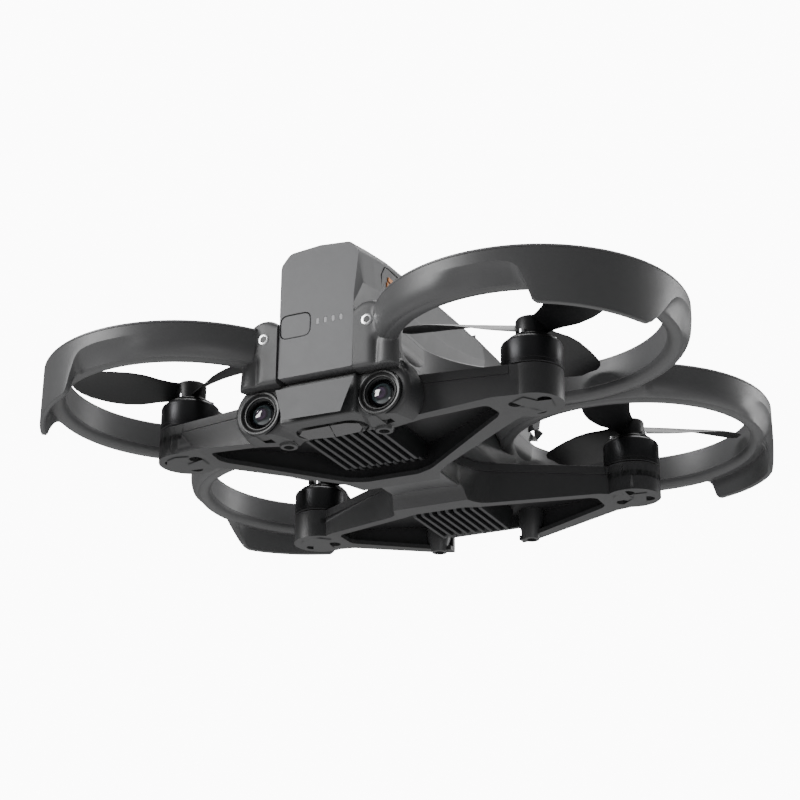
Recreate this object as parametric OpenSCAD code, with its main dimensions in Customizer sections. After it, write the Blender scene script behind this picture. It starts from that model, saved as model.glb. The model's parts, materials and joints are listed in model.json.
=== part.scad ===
// First-person-view racing drone: four ducted three-blade propellers, a battery pack that
// slides in from the rear and a camera that tilts at the nose.
// Millimetres, +Z up, +Y forward, origin on the ground below the middle of the craft.

/* [Ducts] */
// Outer diameter of each propeller duct
duct_d = 94.4; // [78:0.2:114]
// Radial thickness of a duct
duct_wall = 7.5; // [6.5:0.1:9]
// Height of the duct band, top edge to bottom edge
duct_h = 11.3; // [9.5:0.1:13.6]
// Height of the duct tops above the ground
duct_top = 34; // [33:0.5:40]
// Gap between the left and the right ducts
duct_gap = 23.2; // [22:0.2:28]
// How far the front and the rear ducts run into each other
duct_overlap = 4.4; // [2:0.1:6]

/* [Body] */
// Overall height, feet to the top of the battery
overall_h = 64; // [60:0.5:77]
// Width of the battery at its widest
battery_w = 31.6; // [30:0.2:33]
// Height of the motor pads above the ground
pad_z = 5; // [4:0.1:6]
// Height of an arm
arm_h = 10; // [9.5:0.1:11]
// Width of the heat sink
sink_w = 25; // [20:0.5:25]
// Fins on the heat sink
sink_fins = 9; // [6:1:11]

/* [Motors] */
// Diameter of a motor bell
bell_d = 18.6; // [15.5:0.1:20]
// Height of a motor bell
bell_h = 8.9; // [8:0.1:9]
// Diameter of a motor shaft
shaft_d = 3; // [2.5:0.1:3.6]
// Gap between a blade tip and its duct
tip_gap = 1.6; // [1.2:0.1:3]
// Chord of a blade at its widest
blade_chord = 15; // [11:0.5:18]

/* [Sensors and camera] */
// Diameter of a rear vision sensor barrel
sensor_d = 14; // [11.5:0.1:15]
// Diameter of the tilting camera head
camera_d = 21; // [17.5:0.1:23]
// Diameter of the camera's lens barrel
lens_d = 15; // [12:0.1:17]

/* [Hidden] */
$fn = 96;
duct_r = duct_d / 2;
duct_in = duct_r - duct_wall;
mx = duct_gap / 2 + duct_r; // motor axes
my = duct_r - duct_overlap / 2;
flank = 20; // half-width of the body where the ducts meet it
ear_y = my + sqrt(duct_r * duct_r - (mx - flank) * (mx - flank));
duct_low = duct_top - duct_h;
deck = pad_z + arm_h; // top of the arms
lid = deck - 3; // seam between the frame and the deck plate
ceiling = lid - 1.6; // underside of the frame's closed top
waist_z = 0.6; // underside of the waist straps
bridge_w = 16; // heat sink base where it passes through the waist
bell_r = bell_d / 2;
bell_z = deck + 0.6;
bell_top = bell_z + bell_h;
shaft_r = shaft_d / 2;
run_gap = 0.05; // running clearance of the shafts
prop_r = duct_in - tip_gap;
blade_z = bell_top + 5.2;
pod_r = 9.3;
foot_r = 4;
pad_bolt_r = 5.2;
bat_in = 12.5; // half-width of the battery between the ears
bat_out = battery_w / 2;
bat_front = 22;
bat_floor = 23.4;
keel_y = 61; // the pack's deep rear end begins this far behind the middle
cell_step = (overall_h - bat_floor - 9.4) / 4; // height of one battery cell with its gap
ear_z = 29.8;
ear_x = 17.4;
ear_r = 7.2;
cam_y = ear_y - 3;
cam_z = overall_h - 13;
cam_r = camera_d / 2;
fork_x = 12.6; // inner face of the camera fork
sensor_z = 7.6;
sensor_x = 19.9;
dome_r = 10;
wall = 1.5;
latch_travel = 0.9;
tall = 200;

CORNERS = [["rear_right", 1, -1], ["rear_left", -1, -1], ["front_right", 1, 1], ["front_left", -1, 1]];
// Blade angle and spin direction of each propeller, in the order of CORNERS
PHASE = [86.7, 97, 30, 110];
SPIN = [-1, 1, 1, -1];

// ---- helpers ----
// Half an outline and its mirror image, joined into one
function mirrored(half) = concat(half, [for (k = [len(half) - 1:-1:0]) [-half[k][0], half[k][1]]]);

// Both halves of something drawn for the right side
module both_sides() {
  children();
  mirror([1, 0, 0]) children();
}

// Children drawn about the motor axis of corner i
module at_motor(i) {
  translate([CORNERS[i][1] * mx, CORNERS[i][2] * my, 0]) children();
}

// Vertical cylinder through the body at every motor axis
module all_motors() {
  for (i = [0:3]) at_motor(i) children();
}

// Hexagon socket, flat on flat
module hex_socket(af, depth) {
  cylinder(d = af / cos(30), h = depth, $fn = 6);
}

// Profile in Y and Z, extruded from x0 to x1
module side_slab(x0, x1) {
  translate([x0, 0, 0]) rotate([90, 0, 90]) linear_extrude(x1 - x0) children();
}

// Profile in X and Z, extruded from y0 to y1
module front_slab(y0, y1) {
  translate([0, y1, 0]) rotate([90, 0, 0]) linear_extrude(y1 - y0) children();
}

// ---- lower frame ----
rear_edge = ear_y - 13.3;
front_edge = ear_y - 11;

// Right half of the tray outlines: outside, cavity behind the flange, open window
REAR_OUT = [[0, -rear_edge], [28, -rear_edge], [mx - 1, -my - 9.25], [mx - 1, -my],
            [mx - 7.9, -my + 8.2], [15, -15.8], [12.6, -12], [0, -12]];
REAR_CAVITY = [[0, -rear_edge + 1.8], [28, -rear_edge + 1.8], [mx - 9.6, -my - 7], [mx - 9.2, -my - 5],
               [mx - 9.2, -my + 2.4], [mx - 11, -my + 5.2], [14, -17], [0, -17]];
REAR_WINDOW = [[0, -rear_edge + 4], [28, -rear_edge + 4], [mx - 12, -my - 7], [mx - 10.6, -my - 5],
               [mx - 10.6, -my + 1], [mx - 12.3, -my + 3.5], [13.5, -19], [0, -19]];
FRONT_OUT = [[0, 12.4], [11, 12.4], [14, 15], [mx - 7.9, my - 8.2], [mx - 1, my], [mx - 1, my + 9.25],
             [mx - 7, my + 7.4], [19, front_edge], [0, front_edge]];
FRONT_CAVITY = [[0, 16.6], [13.6, 16.6], [mx - 11, my - 6.4], [mx - 9.2, my - 4], [mx - 9.2, my + 4],
                [mx - 10.4, my + 5.4], [17.5, front_edge - 1.8], [0, front_edge - 1.8]];
FRONT_WINDOW = [[0, 18.6], [13.5, 18.6], [mx - 12.3, my - 7.4], [mx - 10.6, my - 5], [mx - 10.6, my + 2.4],
                [mx - 12, my + 4], [16, front_edge - 4], [0, front_edge - 4]];
WAIST = [[0, -13], [12.7, -13], [11.4, -4], [11.2, 4], [11.1, 13.4], [0, 13.4]];

module frame_plan() {
  both_sides() {
    polygon(REAR_OUT);
    polygon(FRONT_OUT);
    polygon(WAIST);
  }
  for (sx = [-1, 1], sy = [-1, 1]) translate([sx * mx, sy * my]) circle(pod_r);
}

// Side view of the frame seen from the rear: the underside rises from waist to pads
module frame_section(rise) {
  polygon([[-mx - 20, pad_z + rise], [-mx + 9, pad_z + rise], [-14, waist_z + rise],
           [14, waist_z + rise], [mx - 9, pad_z + rise], [mx + 20, pad_z + rise],
           [mx + 20, lid], [-mx - 20, lid]]);
}

// Three screw places on each motor pad, turned outward on the rear and the front pair
module pad_bolts(i) {
  at_motor(i) for (k = [0:2]) rotate(CORNERS[i][2] * (120 * k + 90) + 180)
    translate([pad_bolt_r, 0, 0]) children();
}

module foot_places() {
  for (p = [[16, -56.2], [17.5, 57.4]]) {
    translate([p[0], p[1] < 0 ? -ear_y + 15.7 : ear_y - 14.5, 0]) children();
    translate([-p[0], p[1] < 0 ? -ear_y + 15.7 : ear_y - 14.5, 0]) children();
  }
}

// Round foot below the tray with a recessed screw
module foot() {
  rotate_extrude() polygon([[1.6, 0], [2.7, 0], [foot_r, 5], [foot_r, ceiling], [1.6, ceiling]]);
}

// Tray with flanged edges, open below
module frame_shell() {
  difference() {
    union() {
      intersection() {
        linear_extrude(lid) frame_plan();
        front_slab(-tall, tall) frame_section(0);
      }
      all_motors() translate([0, 0, pad_z]) cylinder(r = pod_r, h = arm_h);
    }
    intersection() {
      translate([0, 0, -1]) linear_extrude(ceiling + 1) both_sides() {
        polygon(REAR_CAVITY);
        polygon(FRONT_CAVITY);
      }
      front_slab(-tall, tall) frame_section(1.3);
      translate([-tall, -tall, -1]) cube([2 * tall, 2 * tall, ceiling + 1]);
    }
    translate([0, 0, -1]) linear_extrude(ceiling) both_sides() {
      polygon(REAR_WINDOW);
      polygon(FRONT_WINDOW);
    }
  }
}

module lower_frame() {
  color("#3c3d3f") difference() {
    union() {
      frame_shell();
      foot_places() foot();
    }
    // rear housing and nose opening between the feet
    translate([-13, -ear_y, -1]) cube([26, ear_y - 53, ceiling + 1]);
    translate([-13, -ear_y, -1]) cube([26, ear_y - rear_edge + 2.8, tall]);
    translate([-13, front_edge - 5, -1]) cube([26, 10, 7]);
    // recess above the waist straps
    translate([-tall / 2, -10.6, -1]) cube([tall, 21.6, 6.6]);
    // passage of the heat sink base
    translate([-bridge_w / 2 - 0.1, -20, ceiling - 1.7]) cube([bridge_w + 0.2, 40, 1.8]);
    foot_places() translate([0, 0, -1]) cylinder(r = 1.6, h = 9);
    for (i = [0:3]) {
      pad_bolts(i) translate([0, 0, pad_z - 1]) cylinder(r = 2.3, h = 3);
      pad_bolts(i) translate([0, 0, pad_z]) cylinder(r = 1, h = arm_h + 1);
      at_motor(i) translate([0, 0, deck - 3.5]) cylinder(r = shaft_r + 0.5, h = 5);
    }
  }
}

module deck_plate() {
  color("#37383a") translate([0, 0, lid]) linear_extrude(deck - lid) difference() {
    frame_plan();
    for (sx = [-1, 1], sy = [-1, 1]) translate([sx * mx, sy * my]) circle(pod_r + 0.6);
    translate([-13, -ear_y]) square([26, ear_y - rear_edge + 1.9]);
  }
}

module waist_panel() {
  color("#4a4b4d") difference() {
    translate([-11, -10.4, 4.2]) cube([22, 21.2, 1.4]);
    for (s = [-1, 1]) translate([s * 21, 0, 3]) cylinder(r = 11.4, h = 4);
  }
}

// Base plate under the frame's closed top, with lengthwise fins fore and aft of the waist
module heat_sink() {
  pitch = (sink_w - 1.2) / (sink_fins - 1);
  color("#2b2c2e") {
    translate([-sink_w / 2, -52.6, ceiling - 1.6]) cube([sink_w, 35, 1.6]);
    translate([-sink_w / 2, 17.2, ceiling - 1.6]) cube([sink_w, front_edge - 25.2, 1.6]);
    translate([-bridge_w / 2, -18, ceiling - 1.6]) cube([bridge_w, 36, 1.6]);
    for (k = [0:sink_fins - 1]) translate([-sink_w / 2 + k * pitch, 0, 0]) {
      side_slab(0, 1.2) polygon([[-52.6, ceiling - 1.6], [-52.6, 2.6], [-25, 2.6], [-24, 3.6], [-20, 3.6],
                                 [-19.2, 5.6], [-17.6, 6.2], [-17.6, ceiling - 1.6]]);
      side_slab(0, 1.2) polygon([[18.9, ceiling - 1.6], [18.9, 6], [20, 3], [24, 3], [25, 2.2],
                                 [front_edge - 11, 2.2], [front_edge - 8, 4.6], [front_edge - 8,
                                   ceiling - 1.6]]);
    }
  }
}

// ---- body ----
// Square-ended outline in plan, scooped out by the four ducts
module body_plan(half) {
  difference() {
    translate([-half, -ear_y]) square([2 * half, 2 * ear_y]);
    for (sx = [-1, 1], sy = [-1, 1]) translate([sx * mx, sy * my]) circle(duct_in);
  }
}

module ear_places() {
  for (s = [-1, 1]) translate([s * ear_x, -ear_y, ear_z]) rotate([-90, 0, 0]) children();
}

module body_tub() {
  color("#48494b") difference() {
    union() {
      translate([0, 0, deck]) linear_extrude(duct_top - deck) body_plan(flank);
      intersection() {
        ear_places() cylinder(r = ear_r, h = 15);
        translate([-flank, -ear_y, deck]) cube([2 * flank, 30, tall]);
      }
    }
    // channel that the battery slides in
    slot_w = 2 * bat_in + 0.6;
    translate([-slot_w / 2, -ear_y - 1, bat_floor - 0.3]) cube([slot_w, ear_y + bat_front + 8, tall]);
    translate([-slot_w / 2, -ear_y - 1, deck - 1]) cube([slot_w, ear_y - keel_y + 1.3, tall]);
    // pocket for the main board, reached from above
    translate([-9.4, -58, deck + 1.6]) cube([18.8, 76, tall]);
    // pocket for the speed controller below the hood
    translate([-11.5, bat_front + 9, deck + 1.6]) cube([23, 27, tall]);
    // space in front for the camera fork
    translate([-12.4, ear_y - 8, deck - 1]) cube([24.8, 20, tall]);
    // thin-walled flanks, open below
    both_sides() translate([15, -34, deck - 1]) cube([2.8, 68, duct_top - deck - 1]);
    // room for the sensor barrels' domes
    sensor_places() translate([0, 0, -ear_y - 1]) cylinder(r = dome_r + 0.1, h = ear_y - rear_edge + 1.1);
    ear_places() translate([0, 0, -1]) cylinder(r = 2.6, h = 2.6);
    ear_places() cylinder(r = 1.25, h = 9);
  }
}

// Four printed-board posts and a board with parts on it
module board(x, y0, y1, z, parts) {
  translate([-x, y0, z]) cube([2 * x, y1 - y0, 1.2]);
  for (p = parts) translate([p[0], p[1], z + 1.2]) cube([p[2], p[3], p[4]]);
  for (s = [-1, 1], y = [y0 + 3, y1 - 3]) translate([s * (x - 2), y, deck + 1.6])
    cylinder(r = 1.2, h = z - deck - 1.6);
}

module main_board() {
  color("#1d4a2c") board(9, -56, 16, deck + 3.4, [
    [-6, -50, 11, 11, 1.2], [-5, -30, 9, 9, 1.2], [-7, -12, 6, 8, 0.9], [2, -12, 4, 8, 0.9], [-5, 4,
      10, 6, 1.2]]);
}

module speed_controller() {
  color("#173f6a") board(11, bat_front + 9.5, bat_front + 35.5, deck + 5, [
    [-9, 36, 5, 5, 0.9], [-2.5, 36, 5, 5, 0.9], [4, 36, 5, 5, 0.9], [-9, 45, 18, 8, 3.2]]);
}

// ---- ducts ----
// Rings of one side, cut off where they meet the body; the child is the ring's profile
module duct_pair() {
  difference() {
    for (y = [-my, my]) translate([mx, y, 0]) rotate_extrude($fn = 160) children();
    translate([-1, -tall, -1]) cube([flank + 1, 2 * tall, tall]);
  }
}

// Plan of the web that fills the corner between two rings and the body
module web_plan(grow) {
  difference() {
    union() {
      translate([flank, -my]) square([mx - flank, 2 * my]);
      translate([mx + 14.6, 0]) circle(3);
    }
    for (y = [-my, my]) translate([mx, y]) circle(duct_r - grow);
  }
}

// Deep skirt on the outer corner of a ring
module skirt(y) {
  s = y < 0 ? 1 : -1;
  intersection() {
    translate([mx, y, 0]) rotate_extrude($fn = 160)
      polygon([[duct_r - 2.6, duct_top - 20], [duct_r - 0.8, duct_top - 20], [duct_r, duct_top - 18],
               [duct_r, duct_top - 3], [duct_r - 5, duct_top - 3], [duct_r - 5, duct_low + 1],
                 [duct_r - 3.6, duct_low]]);
    translate([mx, y, 0]) rotate(-47 * s) rotate([90, 0, 90]) linear_extrude(duct_r + 5)
      polygon([[-21 * s, duct_top - 3.5], [-21 * s, duct_top - 6.4], [-17 * s, duct_top - 17.5],
               [16.8 * s, duct_top - 19.4], [27 * s, duct_top - 7.8], [27 * s, duct_top - 3.5]]);
  }
}

module duct_rim() {
  R = duct_r;
  T = duct_top;
  union() {
    duct_pair() polygon([[R, T - 1], [R, T - 5], [R - 3.4, duct_low + 0.5], [R - 4.9, duct_low - 0.4],
                         [R - 6.3, duct_low], [R - duct_wall, T - 9], [R - duct_wall + 1.5, T - 9],
                         [R - duct_wall + 1.5, T - 1]]);
    skirt(-my);
    skirt(my);
    translate([0, 0, T - 5]) linear_extrude(4) web_plan(1);
  }
}

module duct_cap() {
  R = duct_r;
  T = duct_top;
  duct_pair() polygon([[R, T - 1], [R - 0.8, T], [R - duct_wall + 0.8, T], [R - duct_wall, T - 0.8],
                       [R - duct_wall, T - 9], [R - duct_wall + 1.5, T - 9], [R - duct_wall + 1.5, T - 1]]);
  translate([0, 0, T - 1]) linear_extrude(1) web_plan(1);
}

module ear_screws() {
  color("#b9babb") ear_places() difference() {
    union() {
      translate([0, 0, 0.2]) cylinder(r = 2.3, h = 1.4);
      cylinder(r = 1.25, h = 9);
    }
    translate([0, 0, -0.1]) hex_socket(2, 1.3);
  }
}

module pad_screws() {
  color("#1c1c1d") for (i = [0:3]) pad_bolts(i) difference() {
    union() {
      translate([0, 0, pad_z + 0.5]) cylinder(r = 1.9, h = 1.5);
      translate([0, 0, pad_z + 2]) cylinder(r = 1, h = arm_h - 2);
    }
    translate([0, 0, pad_z + 0.4]) hex_socket(1.6, 1);
  }
}

module foot_screws() {
  color("#1c1c1d") foot_places() translate([0, 0, 1.2]) difference() {
    cylinder(r = 1.6, h = 6.8);
    translate([0, 0, -0.1]) hex_socket(1.6, 1.4);
  }
}

// ---- rear housing with two vision sensors and the infrared window ----
window_y = -ear_y + 13.4;

module sensor_places() {
  for (s = [-1, 1]) translate([s * sensor_x, 0, sensor_z]) rotate([-90, 0, 0]) children();
}

module window_plan(grow) {
  for (s = [-1, 1]) translate([s * 6.4, window_y]) circle(5.2 + grow);
  translate([-6.4, window_y - 5.2 - grow]) square([12.8, 10.4 + 2 * grow]);
}

module rear_housing() {
  color("#333436") difference() {
    union() {
      side_slab(-12.9, 12.9) polygon([[-ear_y + 2.3, 3.2], [-ear_y + 3.4, 1.9], [-53.2, 1.9], [-53.2,
        ceiling],
                                      [-rear_edge + 1.8, ceiling], [-rear_edge + 1.8, deck],
                                        [-ear_y + 2.3, deck]]);
      sensor_places() translate([0, 0, -ear_y + 4.6]) cylinder(r1 = dome_r - 1.4, r2 = dome_r, h = 2.4);
      sensor_places() translate([0, 0, -ear_y + 7]) cylinder(r = dome_r, h = ear_y - rear_edge - 7);
    }
    // flattened below, clear of the ground
    translate([-40, -ear_y, -10]) cube([80, 20, 10.6]);
    sensor_places() translate([0, 0, -ear_y + 3.3]) cylinder(d = sensor_d + 0.1, h = ear_y - rear_edge - 5);
    foot_places() translate([0, 0, -1]) cylinder(r = foot_r + 0.15, h = ceiling + 1.2);
    translate([0, 0, 0.9]) linear_extrude(2.3) window_plan(0);
    translate([0, 0, 3]) linear_extrude(3.2) window_plan(-1.4);
  }
}

module rear_plate() {
  color("#6d6e70") front_slab(-ear_y + 1, -ear_y + 2.3)
    polygon([[-13, 12.6], [-11.6, 4], [-10.4, 2.7], [-8.8, 2.3], [8.8, 2.3], [10.4, 2.7], [11.6, 4],
      [13, 12.6]]);
}

// Stepped black barrel around a fisheye lens
module sensor_barrel(s) {
  color("#0c0c0d") translate([s * sensor_x, -ear_y + 3.9, sensor_z]) rotate([-90, 0, 0]) difference() {
    cylinder(d = sensor_d, h = 6);
    translate([0, 0, -0.1]) cylinder(d1 = sensor_d - 2.6, d2 = sensor_d - 5.4, h = 1.3);
    cylinder(d = sensor_d - 5.4, h = 5);
  }
}

module sensor_lens(s) {
  lens_r = sensor_d / 2 - 2.7;
  color("#101014") translate([s * sensor_x, -ear_y + 5.1, sensor_z]) rotate([-90, 0, 0]) union() {
    intersection() {
      translate([0, 0, 6.2]) sphere(r = 6.2);
      cylinder(r = lens_r, h = 1.6);
    }
    translate([0, 0, 1.5]) cylinder(r = lens_r, h = 2.3);
  }
}

module window_rim() {
  color("#2a2a2c") translate([0, 0, 1.4]) linear_extrude(1.6) difference() {
    window_plan(0);
    window_plan(-0.8);
  }
}

// Slanted split between the two halves of the window
module window_half(side) {
  color("#3b3b3f") translate([0, 0, 1.8]) linear_extrude(1.2) intersection() {
    window_plan(-0.8);
    polygon([[2.6 - side * 0.15, window_y - 9], [-2.6 - side * 0.15, window_y + 9],
             [-side * 20, window_y + 9], [-side * 20, window_y - 9]]);
  }
}

// ---- motors and propellers ----
module motor_base(i) {
  color("#8a6a3a") at_motor(i) difference() {
    union() {
      translate([0, 0, deck]) cylinder(r = bell_r - 1.6, h = 0.8);
      translate([0, 0, deck + 0.8]) cylinder(r = 3.2, h = bell_h - 3);
      for (k = [0:8]) rotate(40 * k) translate([2.6, -1, deck + 1.8]) cube([bell_r - 5.4, 2, bell_h - 4.6]);
      for (k = [0:8]) rotate(40 * k) translate([bell_r - 3.4, -1.6, deck + 1.4]) cube([1, 3.2, bell_h - 3.8]);
    }
    translate([0, 0, deck - 1]) cylinder(r = shaft_r + run_gap, h = bell_h + 4);
  }
}

module motor_bell(i) {
  color("#1b1b1d") at_motor(i) translate([0, 0, bell_z]) difference() {
    union() {
      cylinder(r = bell_r, h = bell_h - 0.8);
      translate([0, 0, bell_h - 0.8]) cylinder(r1 = bell_r, r2 = bell_r - 0.8, h = 0.8);
    }
    translate([0, 0, -1]) cylinder(r = bell_r - 1.6, h = bell_h - 0.4);
    translate([0, 0, -1]) cylinder(r = shaft_r, h = bell_h + 3);
  }
}

module motor_shaft(i) {
  color("#c8c8ca") at_motor(i) translate([0, 0, deck - 3]) cylinder(r = shaft_r,
    h = bell_top + 6.4 - deck + 3);
}

// Blade outline along the radius: chord, sweep of the mid-line and pitch angle
blade_root = 3.4;
function span_at(t) = blade_root + t * (prop_r - blade_root);
function chord_at(t) = blade_chord * (0.42 + 0.58 * sin(180 * pow(t, 0.85) * 0.62)) * sqrt(max(0.02,
  1 - pow(t, 9)));
function pitch_at(t) = 30 - 19 * t;
function sweep_at(t) = -1.6 * t * t * t;
// Closed section: four points over the top, four back below
SECTION = [[0.5, 0], [0.3, 0.55], [0, 0.85], [-0.3, 0.7], [-0.5, 0.05], [-0.3, -0.1], [0, 0], [0.3, -0.15]];

function blade_point(t, p) =
  let (c = chord_at(t), a = pitch_at(t), u = p[0] * c, w = p[1] * (1.5 - 0.8 * t) - 0.5 + 0.4 * t)
  [span_at(t), sweep_at(t) + u * cos(a) - w * sin(a), u * sin(a) + w * cos(a)];

module blade() {
  steps = 11;
  n = len(SECTION);
  ts = [for (k = [0:steps]) sin(90 * k / steps)];
  pts = [for (t = ts) for (p = SECTION) blade_point(t, p)];
  sides = [for (k = [0:steps - 1]) for (j = [0:n - 1])
           let (a = k * n + j, b = k * n + (j + 1) % n) each [[a, b + n, b], [a, a + n, b + n]]];
  ends = [[for (j = [0:n - 1]) j], [for (j = [n - 1:-1:0]) steps * n + j]];
  polyhedron(points = pts, faces = concat(sides, ends));
}

module propeller(i) {
  color("#0b0b0c") at_motor(i) difference() {
    union() {
      translate([0, 0, bell_top]) cylinder(r = 7.6, h = 1.1);
      translate([0, 0, bell_top + 1]) cylinder(r = 4.8, h = 6.4);
      translate([0, 0, bell_top + 7.4]) cylinder(r1 = 4.8, r2 = 4.1, h = 0.6);
      for (k = [0:2]) rotate(PHASE[i] + 120 * k) translate([0, 0, blade_z])
        mirror([0, SPIN[i] < 0 ? 0 : 1, 0]) mirror([0, 1, 0]) blade();
    }
    translate([0, 0, bell_top - 1]) cylinder(r = shaft_r, h = 7.4);
    for (k = [0:2]) rotate(PHASE[i] + 60 + 120 * k) translate([6.2, 0, bell_top - 1]) cylinder(r = 0.7,
      h = 4);
  }
}

module prop_screws(i) {
  color("#c4c5c6") at_motor(i) for (k = [0:2]) rotate(PHASE[i] + 60 + 120 * k)
    translate([6.2, 0, bell_top + 1.1]) difference() {
      cylinder(r = 1.2, h = 1.1);
      translate([0, 0, 0.4]) hex_socket(1.1, 1);
    }
}

// ---- battery ----
// Solid form of the pack, drawn inward by i on every face
module battery_form(i) {
  H = overall_h;
  intersection() {
    front_slab(-tall, tall) polygon(mirrored([
      [bat_in - i, 0], [bat_in - i, ear_z + 8 + i], [bat_out - 0.4 - i, ear_z + 10 + i],
      [bat_out - i, H - 16], [bat_out - 1.6 - i, H - 3.5 - i], [bat_out - 4 - i, H - i]]));
    side_slab(-tall, tall) polygon([
      [-ear_y + 1 + i, 16 + i], [-ear_y + 1.3 + i, 40], [-ear_y + 3 + i, H - 6.6 - i], [-ear_y + 5 + i,
        H - 4.8 - i],
      [-46, H - 2.6 - i], [-5, H - 0.4 - i], [9, H - i], [bat_front - i, H - i], [bat_front - i,
        bat_floor + i],
      [-keel_y - i, bat_floor + i], [-keel_y - i, 16 + i]]);
    linear_extrude(tall) polygon(mirrored([
      [13 - i, -ear_y + 0.8 + i], [bat_out - i, -ear_y + 6 + i], [bat_out - i, bat_front]]));
  }
}

// Outline of the latch window in the flank, in Y and Z
LATCH_WINDOW = [[-57, 45], [-57, 51.4], [-54.4, 55], [-52.6, 55.6], [-44.6, 55.6], [-44.6, 45]];
BUTTON = [-12, -2, 29, 36.5]; // x0, x1, z0, z1
LED_X = [0, 2.6, 5.2, 7.8];

module button_plan(grow) {
  r = 2.4; // corner radius
  for (x = [BUTTON[0] + r, BUTTON[1] - r], z = [BUTTON[2] + r, BUTTON[3] - r]) translate([x,
    z]) circle(r + grow);
  translate([BUTTON[0] - grow, BUTTON[2] + r]) square([BUTTON[1] - BUTTON[0] + 2 * grow,
    BUTTON[3] - BUTTON[2] - 2 * r]);
  translate([BUTTON[0] + r, BUTTON[2] - grow]) square([BUTTON[1] - BUTTON[0] - 2 * r,
    BUTTON[3] - BUTTON[2] + 2 * grow]);
}

module led_plan() {
  for (x = LED_X) translate([x, 31.8]) square([1.1, 2]);
}

module battery_case() {
  color("#6a6b6d") difference() {
    battery_form(0);
    battery_form(wall);
    front_slab(-ear_y, -ear_y + 5) button_plan(0.25);
    front_slab(-ear_y, -ear_y + 5) led_plan();
    both_sides() side_slab(11.4, 20) polygon(LATCH_WINDOW);
    translate([-5.5, bat_front - 3, 25.4]) cube([11, 6, 6.2]);
  }
}

module battery_cells() {
  color("#2f5f8f") for (k = [0:3]) translate([-10.4, -52, bat_floor + 2.6 + cell_step * k])
    cube([20.8, 66, cell_step - 0.4]);
}

module battery_board() {
  board_y = -keel_y - wall - 1.2; // stands against the step in the case
  color("#1d4a2c") {
    translate([-10.6, board_y, 18.4]) cube([21.2, 1.2, 34]);
    translate([-9, board_y - 1.4, 30.5]) cube([4, 1.4, 4]);
  }
}

module battery_plug() {
  color("#151516") difference() {
    translate([-5.5, bat_front - 5, 25.4]) cube([11, 8.6, 6.2]);
    for (x = [-4:2:4]) translate([x - 0.5, bat_front + 0.6, 26.4]) cube([1, 4, 4.2]);
  }
}

module charge_leds() {
  color("#e8e9ea") intersection() {
    battery_form(0.1);
    front_slab(-ear_y, -ear_y + 3.4) led_plan();
  }
}

module power_button() {
  color("#747577") intersection() {
    battery_form(0.15);
    front_slab(-ear_y, -ear_y + 4.4) button_plan(0);
  }
}

// Side latch: a pad that is pushed inward, with a raised bar on its face
module latch() {
  H0 = 45.4;
  difference() {
    side_slab(12.4, bat_out - 0.9) polygon([[-56.6, H0], [-56.6, 51.2], [-54.2, 54.6], [-52.4, 55.2],
      [-45, 55.2], [-45, H0]]);
    side_slab(bat_out - 1.5, bat_out) polygon([[-54, 47], [-54, 50], [-48, 50], [-48, 47]]);
  }
  side_slab(bat_out - 0.9, bat_out - 0.5) polygon([[-52.6, 51], [-52.6, 52.4], [-49.6, 52.4], [-49.6, 51]]);
}

module battery_socket() {
  color("#202022") translate([0, bat_front, 0]) difference() {
    translate([-8, 0.4, bat_floor - 0.3]) cube([16, 6.4, 10]);
    translate([-5.9, 0, 25]) cube([11.8, 4.4, 7]);
  }
}

// ---- hood, camera fork and camera ----
module hood() {
  H = overall_h;
  fork_r = 9.6;
  color("#5a5b5d") difference() {
    union() {
      intersection() {
        front_slab(-tall, tall) both_sides() polygon([
          [-1, duct_top], [bat_out - 0.4, duct_top], [bat_out - 0.4, ear_z + 10], [bat_out, H - 16],
          [bat_out - 1.6, H - 3.5], [bat_out - 4, H], [-1, H]]);
        side_slab(-tall, tall) polygon([[bat_front + 0.4, duct_top], [bat_front + 0.4, H], [44,
          H - 0.6], [54, H - 2.4],
          [cam_y - 7, H - 5], [cam_y - 6, cam_z], [cam_y - 9, duct_top + 4], [cam_y - 9, duct_top]]);
      }
      both_sides() side_slab(fork_x, bat_out - 0.4) {
        translate([cam_y, cam_z]) circle(fork_r);
        translate([cam_y - 12, cam_z - fork_r]) square([12, 2 * fork_r]);
      }
    }
    // round hollow that the camera turns in, and the space inside the hood
    side_slab(-fork_x, fork_x) translate([cam_y, cam_z]) circle(14.6);
    side_slab(-bat_out + 2.2, bat_out - 2.2) polygon([[bat_front + 2, duct_top - 1], [bat_front + 2,
      H - 2.4], [44, H - 2.6],
      [50, H - 4.6], [50, duct_top - 1]]);
    translate([0, cam_y, cam_z]) rotate([0, 90, 0]) cylinder(r = 6.05, h = 40);
    translate([-40, cam_y, cam_z]) rotate([0, 90, 0]) cylinder(r = 2.05, h = 40);
  }
}

module tilt_motor() {
  color("#2c2c2e") translate([0, cam_y, cam_z]) rotate([0, 90, 0]) difference() {
    translate([0, 0, 11.2]) cylinder(r = 6, h = bat_out - 11.6);
    translate([0, 0, 11]) cylinder(r = 1.5 + run_gap, h = 3.4);
  }
}

module camera_head() {
  lens_y = cam_r + 1;
  color("#1f2022") translate([0, cam_y, cam_z]) difference() {
    union() {
      rotate([0, 90, 0]) translate([0, 0, -10.6]) cylinder(r = cam_r, h = 21.2);
      rotate([-90, 0, 0]) cylinder(d = lens_d, h = lens_y);
      rotate([0, 90, 0]) cylinder(r = 1.5, h = 13.6);
      rotate([0, -90, 0]) cylinder(r = 2, h = 14);
    }
    rotate([-90, 0, 0]) translate([0, 0, cam_r - 6]) cylinder(d = lens_d - 2, h = 10);
  }
}

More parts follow.
